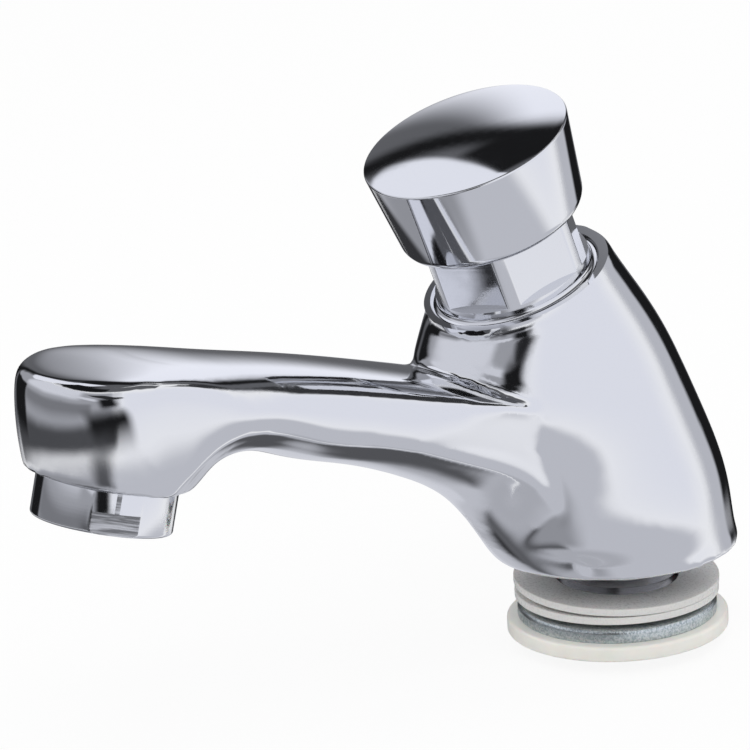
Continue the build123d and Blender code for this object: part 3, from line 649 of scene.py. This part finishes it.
class Finish:
    """A material under construction: Principled shader, Object coordinates and the shared effects."""

    def __init__(self, name, colour, **shader):
        self.name = name
        self.material = bpy.data.materials.new(name)
        self.material.use_nodes = True
        self.graph = Graph(self.material.node_tree)
        self.shader = self.graph.tree.nodes["Principled BSDF"]
        self.shader.inputs["Base Color"].default_value = (*colour, 1.0)
        for key, value in shader.items():
            self.shader.inputs[key.replace("_", " ")].default_value = value
        self.coordinates = self.graph.add("ShaderNodeTexCoord").outputs["Object"]

    def effect(self, name, make, vector, **values):
        """Adds a shared effect, built on its first use, with its named inputs."""
        tree = bpy.data.node_groups.get(name) or make()
        group = self.graph.add("ShaderNodeGroup", node_tree=tree)
        self.graph.join(vector, group.inputs["Vector"])
        for key, value in values.items():
            group.inputs[key].default_value = value
        return group.outputs

    def wear(self, scale, roughness, spread):
        amounts = {"Scale": scale, "Roughness": roughness, "Spread": spread}
        worn = self.effect("Fine wear", wear_group, self.coordinates, **amounts)
        self.graph.join(worn["Roughness"], self.shader.inputs["Roughness"])
        return worn

    def lines(self, lean, lines, break_share):
        """Tool lines across an axis that leans in the YZ plane."""
        turned = self.graph.out("ShaderNodeMapping", {"Vector": self.coordinates, "Rotation": (lean, 0, 0)})
        return self.effect("Tool lines", line_group, turned, Lines=lines, Break=break_share)

    def relief(self, height, distance, strength):
        amounts = {"Height": height, "Distance": distance, "Strength": strength}
        self.graph.join(self.graph.out("ShaderNodeBump", amounts), self.shader.inputs["Normal"])

    def mottle(self, mask, first, second):
        pair = {0: mask, 6: (*first, 1.0), 7: (*second, 1.0)}
        mix = self.graph.add("ShaderNodeMix", pair, data_type="RGBA")
        self.graph.join(mix.outputs[2], self.shader.inputs["Base Color"])


def chrome(name, colour, roughness, spread):
    """Polished plate with the slight waves and fine wear of a real casting."""
    finish = Finish(name, colour, Metallic=1.0)
    finish.wear(160.0, roughness, spread)
    waves = {"Vector": finish.coordinates, "Scale": 70.0, "Detail": 1.0}
    finish.relief(finish.graph.out("ShaderNodeTexNoise", waves), 0.0001, 0.25)
    return finish


def turned_metal(name, colour, roughness, lean, lines, depth):
    """Machined metal with fine lines round its axis."""
    finish = Finish(name, colour, Metallic=1.0)
    finish.wear(300.0, roughness, roughness * 0.35)
    finish.relief(finish.lines(lean, lines, 0.01)["Height"], depth, 0.6)
    return finish


def plastic(name, colour, roughness, subsurface, grain, depth):
    """Moulded plastic with a soft glow and a faint even grain."""
    finish = Finish(name, colour, Subsurface_Weight=subsurface, Subsurface_Scale=0.002)
    worn = finish.wear(grain, roughness, 0.02)
    light, dark = [min(1.0, part * 1.01) for part in colour], [part * 0.99 for part in colour]
    finish.mottle(worn["Mask"], light, dark)
    finish.relief(worn["Height"], depth, 0.15)
    return finish


def zinc(name, colour, dull, roughness):
    """Passivated zinc: grey plate with dull bluish-green patches and specks."""
    finish = Finish(name, colour, Metallic=0.85)
    worn = finish.wear(2600.0, roughness, roughness * 0.35)
    finish.mottle(worn["Mask"], colour, dull)
    finish.relief(worn["Height"], 0.00008, 0.6)
    return finish


def milled(name, colour, lean):
    """Matt milled flats with straight scratches."""
    finish = Finish(name, colour, Metallic=1.0)
    finish.wear(500.0, 0.36, 0.08)
    scratches = finish.lines(lean, 2200.0, 0.06)
    finish.mottle(scratches["Mask"], colour, [part * 0.35 for part in colour])
    finish.relief(scratches["Height"], 0.00006, 0.8)
    return finish


def make_finishes():
    """All the materials, by the record's slot names and a few of their own."""
    colours = bpy.context.scene.finish_colours
    valve = atan2(VALVE_UP.y, VALVE_UP.z)
    outlet = bpy.context.scene.aerator_sizes.tilt
    made = (
        # Roughness and its spread
        chrome("cast_chrome", colours.chrome, 0.055, 0.025),
        chrome("cap_chrome", colours.chrome, 0.05, 0.02),
        # Roughness, lean of the turning axis, tool lines for each metre and their depth
        turned_metal("aerator_chrome", colours.chrome, 0.07, outlet, 1800.0, 0.000006),
        turned_metal("neck_chrome", colours.neck, 0.07, valve, 2600.0, 0.000003),
        turned_metal("turned_steel", colours.steel, 0.24, valve, 2200.0, 0.00006),
        turned_metal("bright_steel", colours.steel, 0.16, valve, 3000.0, 0.00003),
        turned_metal("brass_parts", colours.brass, 0.22, valve, 2400.0, 0.00005),
        # The shank's dark colour is painted shade under the body
        turned_metal("shank_metal", colours.shank, 0.2, 0.0, 2500.0, 0.00003),
        milled("milled_chrome", colours.neck, outlet),
        # Roughness
        zinc("zinc_steel", colours.zinc, colours.zinc_dull, 0.38),
        zinc("zinc_rim", colours.zinc, colours.zinc_dull, 0.10),
        # Roughness, share of the inner glow, grains for each metre and their depth
        plastic("black_rubber", colours.rubber, 0.55, 0.0, 1500.0, 0.00004),
        plastic("white_washer", colours.washer, 0.28, 0.1, 2400.0, 0.00001),
        plastic("natural_plastic", colours.cream, 0.34, 0.2, 500.0, 0.00001),
        plastic("grey_plastic", colours.grey, 0.4, 0.0, 900.0, 0.00003),
        plastic("acetal", colours.acetal, 0.35, 0.3, 700.0, 0.00003),
    )
    return {finish.name: finish.material for finish in made}


# Operators, one for each piece or group of like pieces

FINISHES = {}


class TapBuild:
    """What the build operators share."""

    bl_options = {"REGISTER", "UNDO"}

    @staticmethod
    def sizes(name):
        return getattr(bpy.context.scene, name)


class TAP_OT_finishes(TapBuild, bpy.types.Operator):
    """Builds the materials and gives each CAD node its own"""

    bl_idname = "tap.finishes"
    bl_label = "Finishes"

    def execute(self, context):
        FINISHES.update(make_finishes())
        for name, node in NODES.items():
            node.data.materials.clear()
            node.data.materials.append(FINISHES[SLOTS[name]])
        return {"FINISHED"}


class TAP_OT_body(TapBuild, bpy.types.Operator):
    """Skins the cast body: joined, softened as by polishing, and cut square at the collar's rim"""

    bl_idname = "tap.body"
    bl_label = "Cast body"

    def execute(self, context):
        sizes = self.sizes("body_sizes")
        seal = Seat("gland_seal", VALVE_UP)
        place = seal.raised(sizes.recess_depth)
        skin = new_piece("body_skin", self.casting(place, sizes), sharp=40.0)
        recess = skin.modifiers.new("Recess", "BOOLEAN")
        recess.object = self.recess_cutter(place, sizes)
        recess.solver = "EXACT"
        final = evaluated_mesh(skin)
        skin.modifiers.clear()
        skin.data = final
        bpy.data.objects.remove(bpy.data.objects["cutter"])
        final.shade_smooth()
        final.set_sharp_from_angle(angle=radians(38.0))
        dress(skin, "tap", FINISHES["cast_chrome"], "body")
        return {"FINISHED"}

    @staticmethod
    def casting(place, sizes):
        """The body's mesh, joined with a plug that closes the collar, polished, and cut at the rim."""
        rim = place.translation
        plug_low = -sizes.recess_depth - sizes.rim_bevel
        corners = [
            (0, plug_low), (sizes.collar_radius, plug_low),
            (sizes.collar_radius, sizes.plug_height), (0, sizes.plug_height),
        ]
        mesh = lathe_mesh("body_rough", place, corners, COARSE)
        joined(mesh, merged_copy("body"))
        rough = placed("body_rough", mesh)
        remesh = rough.modifiers.new("Joined", "REMESH")
        remesh.mode = "VOXEL"
        remesh.voxel_size = sizes.grain
        smooth = evaluated_mesh(rough)
        bpy.data.objects.remove(rough)
        polished(smooth, sizes)
        work = bmesh.new()
        work.from_mesh(smooth)
        collar_reach = sizes.plug_height * 8
        near = [face for face in work.faces if (face.calc_center_median() - rim).length < collar_reach]
        around = list(dict.fromkeys(item for face in near for item in (face, *face.edges, *face.verts)))
        cut = bmesh.ops.bisect_plane(work, geom=around, plane_co=rim, plane_no=VALVE_UP, clear_outer=True)
        edges = [item for item in cut["geom_cut"] if isinstance(item, bmesh.types.BMEdge)]
        bmesh.ops.holes_fill(work, edges=edges, sides=0)
        work.to_mesh(smooth)
        work.free()
        return smooth

    @staticmethod
    def recess_cutter(place, sizes):
        """A turned cutter for the gland's recess, the bevel at its mouth and the start of the bore."""
        bore_low = -sizes.recess_depth - sizes.rim_bevel * 3
        corners = [
            (0, sizes.plug_height),
            (sizes.recess_radius + sizes.rim_bevel + sizes.plug_height, sizes.plug_height),
            (sizes.recess_radius, -sizes.rim_bevel),
            (sizes.recess_radius, -sizes.recess_depth),
            (sizes.bore_radius, -sizes.recess_depth),
            (sizes.bore_radius, bore_low),
            (0, bore_low),
        ]
        return new_piece("cutter", lathe_mesh("cutter", place, corners))


class TAP_OT_neck(TapBuild, bpy.types.Operator):
    """Turns the gland nut: flange, cove, neck and six spanner flats"""

    bl_idname = "tap.neck"
    bl_label = "Gland nut"

    def execute(self, context):
        sizes = self.sizes("neck_sizes")
        nut = Seat("gland_nut", VALVE_UP)
        top = nut.length
        flange_top = top - sizes.height
        flange_low = flange_top - sizes.flange
        flat_low = flange_top + sizes.flat_start
        roof_low = top - sizes.roof
        half_across = sizes.across_flats / 2

        def reach(angle, radius, height):
            if radius < half_across or height < flat_low + HAIRLINE / 2:
                return radius
            sixth = pi / 3
            off = (angle - sizes.flat_turn + sixth / 2) % sixth - sixth / 2
            return min(radius, half_across / cos(off))

        corners = [
            (sizes.inner_radius, 0, 0), (sizes.nose_radius, 0, sizes.edge),
            (sizes.nose_radius, flange_low, 0), (nut.radius, flange_low, 0),
            (nut.radius, flange_top, sizes.edge), (sizes.radius, flange_top, sizes.cove),
            (sizes.radius, flat_low, 0), (sizes.radius, flat_low + HAIRLINE, 0),
            (sizes.radius, top, sizes.edge * 2), (sizes.stem_bore, top, 0),
            (sizes.stem_bore, roof_low, 0), (sizes.inner_radius, roof_low, 0),
        ]
        mesh = lathe_mesh("gland_neck", nut.place, rounded(corners), FINE, reach)
        dress(new_piece("gland_neck", mesh), "tap", FINISHES["neck_chrome"], "gland_nut")
        return {"FINISHED"}


class TAP_OT_cap(TapBuild, bpy.types.Operator):
    """Turns the push cap: a flared skirt under a shallow dome, hollow around its boss"""

    bl_idname = "tap.cap"
    bl_label = "Push cap"

    def execute(self, context):
        sizes = self.sizes("cap_sizes")
        cap = Seat("push_cap", VALVE_UP)
        rise = sizes.dome_radius - sqrt(sizes.dome_radius**2 - sizes.edge_radius**2)
        corners = []
        dome_steps = 14
        for index in range(dome_steps):
            radius = sizes.edge_radius * index / dome_steps
            drop = sizes.dome_radius - sqrt(sizes.dome_radius**2 - radius**2)
            corners.append((radius, sizes.height + rise - drop, 0))
        slope = (sizes.edge_radius - sizes.foot_radius) / sizes.height
        ceiling = sizes.height - sizes.roof
        inner_foot = sizes.foot_radius - sizes.wall
        corners += [
            (sizes.edge_radius, sizes.height, sizes.edge_round),
            (sizes.foot_radius, 0, sizes.foot_round),
            (inner_foot, 0, 0), (inner_foot + slope * ceiling, ceiling, 0),
            (sizes.boss_radius, ceiling, 0), (sizes.boss_radius, sizes.boss_low, 0),
            (sizes.boss_bore, sizes.boss_low, 0), (sizes.boss_bore, sizes.bush_top, 0),
            (0, sizes.bush_top, 0),
        ]
        mesh = lathe_mesh("cap_shell", cap.place, rounded(corners, 8), SMOOTH)
        dress(new_piece("cap_shell", mesh), "plunger", FINISHES["cap_chrome"], "push_cap")
        return {"FINISHED"}


class TAP_OT_aerator(TapBuild, bpy.types.Operator):
    """Turns the aerator's housing with its two milled flats, and weaves its screen"""

    bl_idname = "tap.aerator"
    bl_label = "Aerator"

    def execute(self, context):
        sizes = self.sizes("aerator_sizes")
        axis = Vector((0, sin(sizes.tilt), cos(sizes.tilt)))
        housing = Seat("aerator_housing", axis)
        top = housing.length
        flat_top = sizes.flat_height
        half_across = sizes.flat_across / 2

        def reach(angle, radius, height):
            if radius < half_across or height > flat_top + HAIRLINE / 2:
                return radius
            off = (angle - sizes.flat_turn + pi / 2) % pi - pi / 2
            return min(radius, half_across / max(cos(off), MILLIMETRE))

        corners = [
            (sizes.lip_radius, 0, 0), (sizes.radius, 0, sizes.edge),
            (sizes.radius, flat_top, 0), (sizes.radius, flat_top + HAIRLINE, 0),
            (sizes.radius, sizes.skirt, sizes.edge / 3), (sizes.thread_radius, sizes.skirt, 0),
            (sizes.thread_radius, top, sizes.edge / 2), (sizes.bore_radius, top, 0),
            (sizes.bore_radius, sizes.lip, 0), (sizes.lip_radius, sizes.lip, 0),
        ]
        mesh = lathe_mesh("aerator_shell", housing.place, rounded(corners), FINE, reach)
        mesh.materials.append(FINISHES["aerator_chrome"])
        mesh.materials.append(FINISHES["milled_chrome"])
        out = housing.place.to_3x3() @ Vector((cos(sizes.flat_turn), sin(sizes.flat_turn), 0))
        same_way, on_flat = 0.9995, half_across * 0.99
        for face in mesh.polygons:
            away = abs((face.center - housing.foot).dot(out))
            if abs(face.normal.dot(out)) > same_way and away > on_flat:
                face.material_index = 1
        shell = new_piece("aerator_shell", mesh)
        dress(shell, "tap", FINISHES["aerator_chrome"], "aerator_housing")
        screen = Seat("aerator_screen", axis)
        steel = FINISHES["bright_steel"]
        wires = {"Radius": screen.radius, "Pitch": sizes.mesh_pitch, "Wire_Radius": sizes.mesh_wire}
        mesh = grow("aerator_mesh", screen_tree(), screen.raised(screen.length / 2), Material=steel, **wires)
        dress(new_piece("aerator_mesh", mesh), "tap", steel, "aerator_screen")
        return {"FINISHED"}


class TAP_OT_washers(TapBuild, bpy.types.Operator):
    """Turns the two off-white washers and the zinc plated one"""

    bl_idname = "tap.washers"
    bl_label = "Washers"

    def execute(self, context):
        sizes = self.sizes("clamp_sizes")
        lower = Seat("clamp_washer", UPRIGHT)
        self.ring("clamp_washer", "lower_washer", lower, sizes.washer, sizes)
        steel = Seat("steel_washer", UPRIGHT)
        self.ring("steel_washer", "zinc_washer", steel, steel.length, sizes)
        lean_x, lean_y = cos(sizes.lean_turn) * sin(sizes.lean), sin(sizes.lean_turn) * sin(sizes.lean)
        upper = Seat("deck_gasket", (lean_x, lean_y, cos(sizes.lean)))
        upper.place.translation.z = lower.foot.z + sizes.washer + upper.radius * sin(sizes.lean)
        self.ring("deck_gasket", "upper_washer", upper, sizes.washer, sizes)
        return {"FINISHED"}

    @staticmethod
    def ring(node, name, seat, height, sizes):
        """A flat ring on a node's seat. The steel one has a smooth rounded top edge."""
        steel = node == "steel_washer"
        top_edge = sizes.steel_edge if steel else sizes.washer_edge
        inner = sizes.crest_radius + sizes.washer_play
        corners = [
            (inner, 0, 0), (seat.radius, 0, sizes.washer_edge),
            (seat.radius, height, top_edge), (inner, height, 0),
        ]
        mesh = lathe_mesh(name, seat.place, rounded(corners))
        mesh.materials.append(FINISHES[SLOTS[node]])
        if steel:
            mesh.materials.append(FINISHES["zinc_rim"])
            for face in mesh.polygons:
                if face.center.z > seat.foot.z + height - top_edge:
                    face.material_index = 1
        dress(new_piece(name, mesh), "tap", FINISHES[SLOTS[node]], node)


class TAP_OT_flange_nut(TapBuild, bpy.types.Operator):
    """Moulds the flanged nut: rim, web and hub, with ribs between them"""

    bl_idname = "tap.flange_nut"
    bl_label = "Flanged nut"

    def execute(self, context):
        sizes = self.sizes("clamp_sizes")
        nut = Seat("flange_nut", UPRIGHT)
        top = nut.length
        inner = sizes.crest_radius + sizes.nut_play
        hub = inner + sizes.hub_wall
        rim = nut.radius - sizes.rim_wall
        web_low = top - sizes.web
        hub_low = top - sizes.hub_height
        edge = sizes.washer_edge
        corners = [
            (inner, hub_low, 0), (hub, hub_low, 0), (hub, web_low, 0), (rim, web_low, 0),
            (rim, 0, edge), (nut.radius, 0, edge * 2), (nut.radius, top, edge * 3), (inner, top, 0),
        ]
        disc = lathe_mesh("clamp_nut", nut.place, rounded(corners))
        place = nut.raised((hub_low + web_low) / 2 + sizes.web / 4)
        shape = {"Count": sizes.rib_count, "Middle_Radius": (hub + rim) / 2, "Thickness": sizes.rib}
        shape.update({"Length": rim - hub + sizes.rim_wall, "Height": web_low - hub_low + sizes.web / 2})
        joined(disc, grow("ribs", rib_tree(), place, Material=FINISHES["natural_plastic"], **shape))
        dress(new_piece("clamp_nut", disc), "tap", FINISHES["natural_plastic"], "flange_nut")
        return {"FINISHED"}


class TAP_OT_shank(TapBuild, bpy.types.Operator):
    """Turns the inlet shank with its shoulder and groove, and winds its thread"""

    bl_idname = "tap.shank"
    bl_label = "Inlet shank"

    def execute(self, context):
        sizes = self.sizes("clamp_sizes")
        shank = Seat("inlet_shank", UPRIGHT)
        top = shank.length
        half_pitch = sizes.pitch / 2
        bore, crest = sizes.bore_radius, sizes.crest_radius
        root = crest - half_pitch
        groove = crest - sizes.groove_depth
        shoulder_low = -shank.foot.z - sizes.shoulder
        groove_low = shoulder_low - sizes.groove
        edge = sizes.washer_edge
        corners = [
            (bore, 0, 0), (root, 0, edge), (root, groove_low, 0), (groove, groove_low, 0),
            (groove, shoulder_low, edge), (crest, shoulder_low, edge),
            (crest, top, 0), (bore, top, 0),
        ]
        core = lathe_mesh("shank_thread", shank.place, rounded(corners))
        place = shank.raised(sizes.lead_in + half_pitch)
        height = groove_low - sizes.lead_in - sizes.pitch
        shape = {"Coil_Radius": root, "Wire_Radius": half_pitch, "Turns": height / sizes.pitch}
        shape.update({"Height": height, "Sides": 4, "Steps": 96, "Material": FINISHES["shank_metal"]})
        joined(core, grow("thread", coil_tree(), place, **shape))
        dress(new_piece("shank_thread", core), "tap", FINISHES["shank_metal"], "inlet_shank")
        return {"FINISHED"}


class TAP_OT_seals(TapBuild, bpy.types.Operator):
    """Turns the round O-rings of the stem, the sleeve and the seat"""

    bl_idname = "tap.seals"
    bl_label = "O-rings"

    def execute(self, context):
        steps = 16
        for node in ("stem_o_ring", "sleeve_o_ring", "seat_o_ring"):
            ring = Seat(node, VALVE_UP)
            half = ring.length / 2
            turns = [2 * pi * step / steps for step in range(steps)]
            outline = [(ring.radius - half + half * cos(turn), half + half * sin(turn)) for turn in turns]
            mesh = lathe_mesh(node + "_round", ring.place, outline, COARSE)
            dress(new_piece(node + "_round", mesh, sharp=60.0), "tap", FINISHES["black_rubber"], node)
        return {"FINISHED"}


class TAP_OT_spring(TapBuild, bpy.types.Operator):
    """Winds the return spring; the real spring shortens as the cap is pushed"""

    bl_idname = "tap.spring"
    bl_label = "Return spring"

    def execute(self, context):
        sizes = self.sizes("spring_sizes")
        spring = Seat("return_spring", VALVE_UP)
        steel = FINISHES[SLOTS["return_spring"]]
        wire = sizes.wire
        shape = {"Turns": sizes.turns, "Coil_Radius": spring.radius - wire, "Wire_Radius": wire}
        shape.update({"Height": spring.length - wire * 2, "Sides": 14, "Steps": 64, "Material": steel})
        mesh = grow("spring_coil", coil_tree(), spring.raised(wire), **shape)
        coil = dress(new_piece("spring_coil", mesh, sharp=60.0), "tap", steel, "return_spring")
        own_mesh(coil)
        return {"FINISHED"}


class TAP_OT_stage(TapBuild, bpy.types.Operator):
    """Sets the floor, the cards that the chrome mirrors, the lights, the world and the camera"""

    bl_idname = "tap.stage"
    bl_label = "Stage"

    def execute(self, context):
        sizes = self.sizes("stage_sizes")
        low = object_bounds()[0]
        self.floor(sizes, low.z - sizes.floor_gap)
        self.world(sizes)
        self.camera(sizes)
        self.lights()
        for order, card in enumerate(CARDS):
            self.patch(order, *card)
        context.scene.view_settings.view_transform = "Standard"
        return {"FINISHED"}

    @staticmethod
    def staged(name, corners, faces):
        """A staged mesh with a node material of its own. Gives the object and the material's graph."""
        mesh = bpy.data.meshes.new(name)
        mesh.from_pydata(corners, [], faces)
        card = placed(name, mesh)
        card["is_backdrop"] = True
        finish = bpy.data.materials.new(name)
        finish.use_nodes = True
        mesh.materials.append(finish)
        return card, Graph(finish.node_tree)

    @staticmethod
    def mixed(graph, share, first, second, end="Material Output"):
        """Ends a tree with a mix of two shaders."""
        mix = graph.out("ShaderNodeMixShader", {0: share, 1: first, 2: second})
        graph.join(mix, graph.tree.nodes[end].inputs["Surface"])

    def floor(self, sizes, height):
        """A diffuse floor that the camera sees as white. The chrome mirrors the cards in its place."""
        half = sizes.floor_size / 2
        corners = [(x * half, y * half, height) for x, y in ((-1, -1), (1, -1), (1, 1), (-1, 1))]
        floor, graph = self.staged("floor", corners, [(0, 1, 2, 3)])
        shader = graph.tree.nodes["Principled BSDF"]
        shader.inputs["Base Color"].default_value = (*sizes.floor_tint, 1.0)
        shader.inputs["Roughness"].default_value = 0.9
        glow = graph.out("ShaderNodeEmission", {"Color": WHITE, "Strength": 1.0})
        path = graph.add("ShaderNodeLightPath")
        share = graph.out("ShaderNodeMapRange", {"Value": path.outputs["Is Camera Ray"], "To Max": 0.9})
        self.mixed(graph, share, shader.outputs[0], glow)
        floor.visible_glossy = False

    def world(self, sizes):
        """A plain even light, white where the camera, the chrome or clear plastic sees it."""
        world = bpy.data.worlds.new("studio")
        world.use_nodes = True
        graph = Graph(world.node_tree)
        even = world.node_tree.nodes["Background"]
        even.inputs["Color"].default_value = WHITE
        even.inputs["Strength"].default_value = sizes.ambient
        white = graph.out("ShaderNodeBackground", {"Color": WHITE, "Strength": 1.0})
        path = graph.add("ShaderNodeLightPath").outputs
        seen = graph.math("MAXIMUM", path["Is Camera Ray"], path["Is Glossy Ray"])
        seen = graph.math("MAXIMUM", seen, path["Is Transmission Ray"])
        self.mixed(graph, seen, even.outputs[0], white, "World Output")
        bpy.context.scene.world = world

    @staticmethod
    def camera(sizes):
        data = bpy.data.cameras.new("camera")
        data.lens = sizes.lens
        data.sensor_width = 36.0
        data.clip_start = 0.01
        data.clip_end = 50.0
        camera = placed("camera", data)
        rise = Matrix.Rotation(pi / 2 - sizes.elevation, 4, "X")
        aim = Matrix.Rotation(sizes.azimuth, 4, "Z") @ rise @ Matrix.Rotation(sizes.roll, 4, "Z")
        camera.matrix_world = Matrix.Translation(sizes.camera_place) @ aim
        bpy.context.scene.camera = camera

    @staticmethod
    def lights():
        for name, place, power, width in LAMPS:
            data = bpy.data.lights.new(name, "AREA")
            data.energy = power
            data.size = width
            lamp = placed(name, data)
            lamp.matrix_world = Vector(place).to_track_quat("Z", "Y").to_matrix().to_4x4()
            lamp.location = place
            lamp.visible_glossy = False

    def patch(self, order, name, azimuth, elevation, width, height, lean, level, fade):
        """A card: a piece of a sphere that fades out at its edges and shows only in the chrome."""
        hole = CARD_HOLES.get(name)
        centre, distance = CARD_PLACES.get(name, (STAGE_CENTRE, CARD_DISTANCE - order * CARD_STEP))
        corners, cover, faces = [], [], []
        for row in range(CARD_MESH + 1):
            for column in range(CARD_MESH + 1):
                u, v = column / CARD_MESH * 2 - 1, row / CARD_MESH * 2 - 1
                turn = radians(azimuth + u * width / 2 + v * lean / 2)
                rise = radians(elevation + v * height / 2)
                ray = Vector((sin(turn) * cos(rise), -cos(turn) * cos(rise), sin(rise)))
                corners.append(centre + ray * distance)
                edges = (1 - abs(u)) * width / 2, (1 - abs(v)) * height / 2
                if hole:
                    reach = sqrt(u * u + v * v)
                    edges = (1 - reach) * width / 2, (reach - hole) * width / 2
                side, end = (min(max(edge / fade, 0), 1) for edge in edges)
                cover.append(side**2 * (3 - 2 * side) * end**2 * (3 - 2 * end))
                if row < CARD_MESH and column < CARD_MESH:
                    first = row * (CARD_MESH + 1) + column
                    faces.append((first, first + 1, first + CARD_MESH + 2, first + CARD_MESH + 1))
        card, graph = self.staged("card_" + name, corners, faces)
        card.data.attributes.new("cover", "FLOAT", "POINT").data.foreach_set("value", cover)
        glow = graph.out("ShaderNodeEmission", {"Color": CARD_TINT, "Strength": level})
        share = graph.add("ShaderNodeAttribute", attribute_name="cover").outputs["Fac"]
        self.mixed(graph, share, graph.out("ShaderNodeBsdfTransparent"), glow)
        card.visible_camera = card.visible_diffuse = card.visible_transmission = card.visible_shadow = False


class TAP_PT_panel(bpy.types.Panel):
    """Lists the build steps"""

    bl_idname = "TAP_PT_panel"
    bl_label = "Push timed tap"
    bl_space_type = "VIEW_3D"
    bl_region_type = "UI"
    bl_category = "Tap"

    def draw(self, context):
        for step in STEPS:
            self.layout.operator(step.bl_idname)


WHITE = (1, 1, 1, 1)
# Name, place, power in watts and width, with lengths in metres
LAMPS = (
    ("key", (0.9, -0.6, 1.2), 9.0, 0.9),
    ("fill", (-0.9, -0.9, 0.7), 5.0, 1.0),
    ("back", (0.2, 1.2, 0.9), 5.0, 0.9),
)
STAGE_CENTRE = Vector((0, -0.04, 0.03))
HEAD_CENTRE = Vector((0, -0.095, 0.03))
CARD_DISTANCE = 1.1
CARD_STEP = 0.02
CARD_MESH = 40
CARD_TINT = (0.965, 0.98, 1.055, 1.0)
# A card with a hole is a ring, and this is its inner radius as a share of its outer one
CARD_HOLES = {"arch": 0.62}
# Centre and distance of the cards that only the head mirrors
CARD_PLACES = {"front_dark": (HEAD_CENTRE, 0.24), "head_low": (HEAD_CENTRE, 0.23)}
# Name, azimuth (0 is along the spout, 90 to its right), elevation, width, height, lean, grey level and how
# soft the edges are, with angles in degrees. A later card is in front of an earlier one
CARDS = (
    ("ceiling", 0, 73, 359, 50, 0, 0.12, 10),
    ("horizon", -65, 12, 260, 80, 0, 0.38, 14),
    ("right", 108, 8, 130, 96, 0, 0.88, 34),
    ("right_back", 180, 0, 44, 66, 0, 0.56, 18),
    ("table", 0, -60.5, 359, 73, 0, 0.60, 7),
    ("front_table", -25, -46, 156, 60, 0, 0.34, 24),
    ("front_deep", -34, -64, 120, 30, 0, 0.12, 15),
    ("front_ceiling", -20, 67, 120, 30, 0, 0.01, 6),
    ("front_glow", -26, 31, 92, 50, 0, 0.74, 13),
    ("front_haze", -16, -2, 96, 18, 0, 0.22, 7),
    ("front_low", -14, -17, 150, 14, 0, 0.08, 5),
    ("front_shade", 44, 22, 24, 24, -34, 0.03, 5),
    ("front_streak", 24, 16, 26, 20, -58, 0.70, 6),
    ("front_dark", 52, -10, 60, 26, -28, 0.012, 13),
    ("head_low", 40, -30, 44, 44, 0, 0.10, 20),
    ("barrel_dark", 47, 6, 28, 28, -8, 0.012, 9),
    ("left", -82, -4, 48, 30, 0, 0.012, 5),
    ("back_deep", -140, -56, 40, 40, 0, 0.10, 12),
    ("back_high", -168, 36, 44, 40, 0, 0.13, 10),
    ("back_top", 166, 38, 38, 18, 0, 0.04, 6),
    ("back_base", -118, 20, 60, 84, 0, 0.13, 7),
    ("back_glow", -134, 27, 44, 60, 0, 0.98, 16),
    ("back_right", -158, -3, 34, 36, 0, 0.012, 6),
    ("above_bright", -82, 54, 36, 46, 0, 0.92, 3),
    ("arch_top", -124, 61, 54, 22, 0, 0.012, 5),
    ("arch", -131, 16, 80, 100, 0, 0.012, 6),
    ("back_low", -121, -32, 18, 46, -16, 0.70, 7),
    ("left_low", -89, -41, 34, 46, -50, 0.04, 7),
    ("nadir", 0, -81, 359, 34, 0, 0.48, 16),
)

STEPS = (
    TAP_OT_finishes,
    TAP_OT_body,
    TAP_OT_neck,
    TAP_OT_cap,
    TAP_OT_aerator,
    TAP_OT_washers,
    TAP_OT_flange_nut,
    TAP_OT_shank,
    TAP_OT_seals,
    TAP_OT_spring,
    TAP_OT_stage,
)
GROUPS = {
    "body_sizes": BodySizes,
    "neck_sizes": NeckSizes,
    "cap_sizes": CapSizes,
    "aerator_sizes": AeratorSizes,
    "clamp_sizes": ClampSizes,
    "spring_sizes": SpringSizes,
    "finish_colours": FinishColours,
    "stage_sizes": StageSizes,
}


def register():
    for name, group in GROUPS.items():
        bpy.utils.register_class(group)
        setattr(bpy.types.Scene, name, PointerProperty(type=group))
    for step in STEPS:
        bpy.utils.register_class(step)
    bpy.utils.register_class(TAP_PT_panel)


def unregister():
    bpy.utils.unregister_class(TAP_PT_panel)
    for step in reversed(STEPS):
        bpy.utils.unregister_class(step)
    for name, group in reversed(GROUPS.items()):
        delattr(bpy.types.Scene, name)
        bpy.utils.unregister_class(group)


def main():
    register()
    bpy.ops.tap.finishes()
    bpy.ops.tap.body()
    bpy.ops.tap.neck()
    bpy.ops.tap.cap()
    bpy.ops.tap.aerator()
    bpy.ops.tap.washers()
    bpy.ops.tap.flange_nut()
    bpy.ops.tap.shank()
    bpy.ops.tap.seals()
    bpy.ops.tap.spring()
    bpy.ops.tap.stage()


if __name__ == "__main__":
    main()
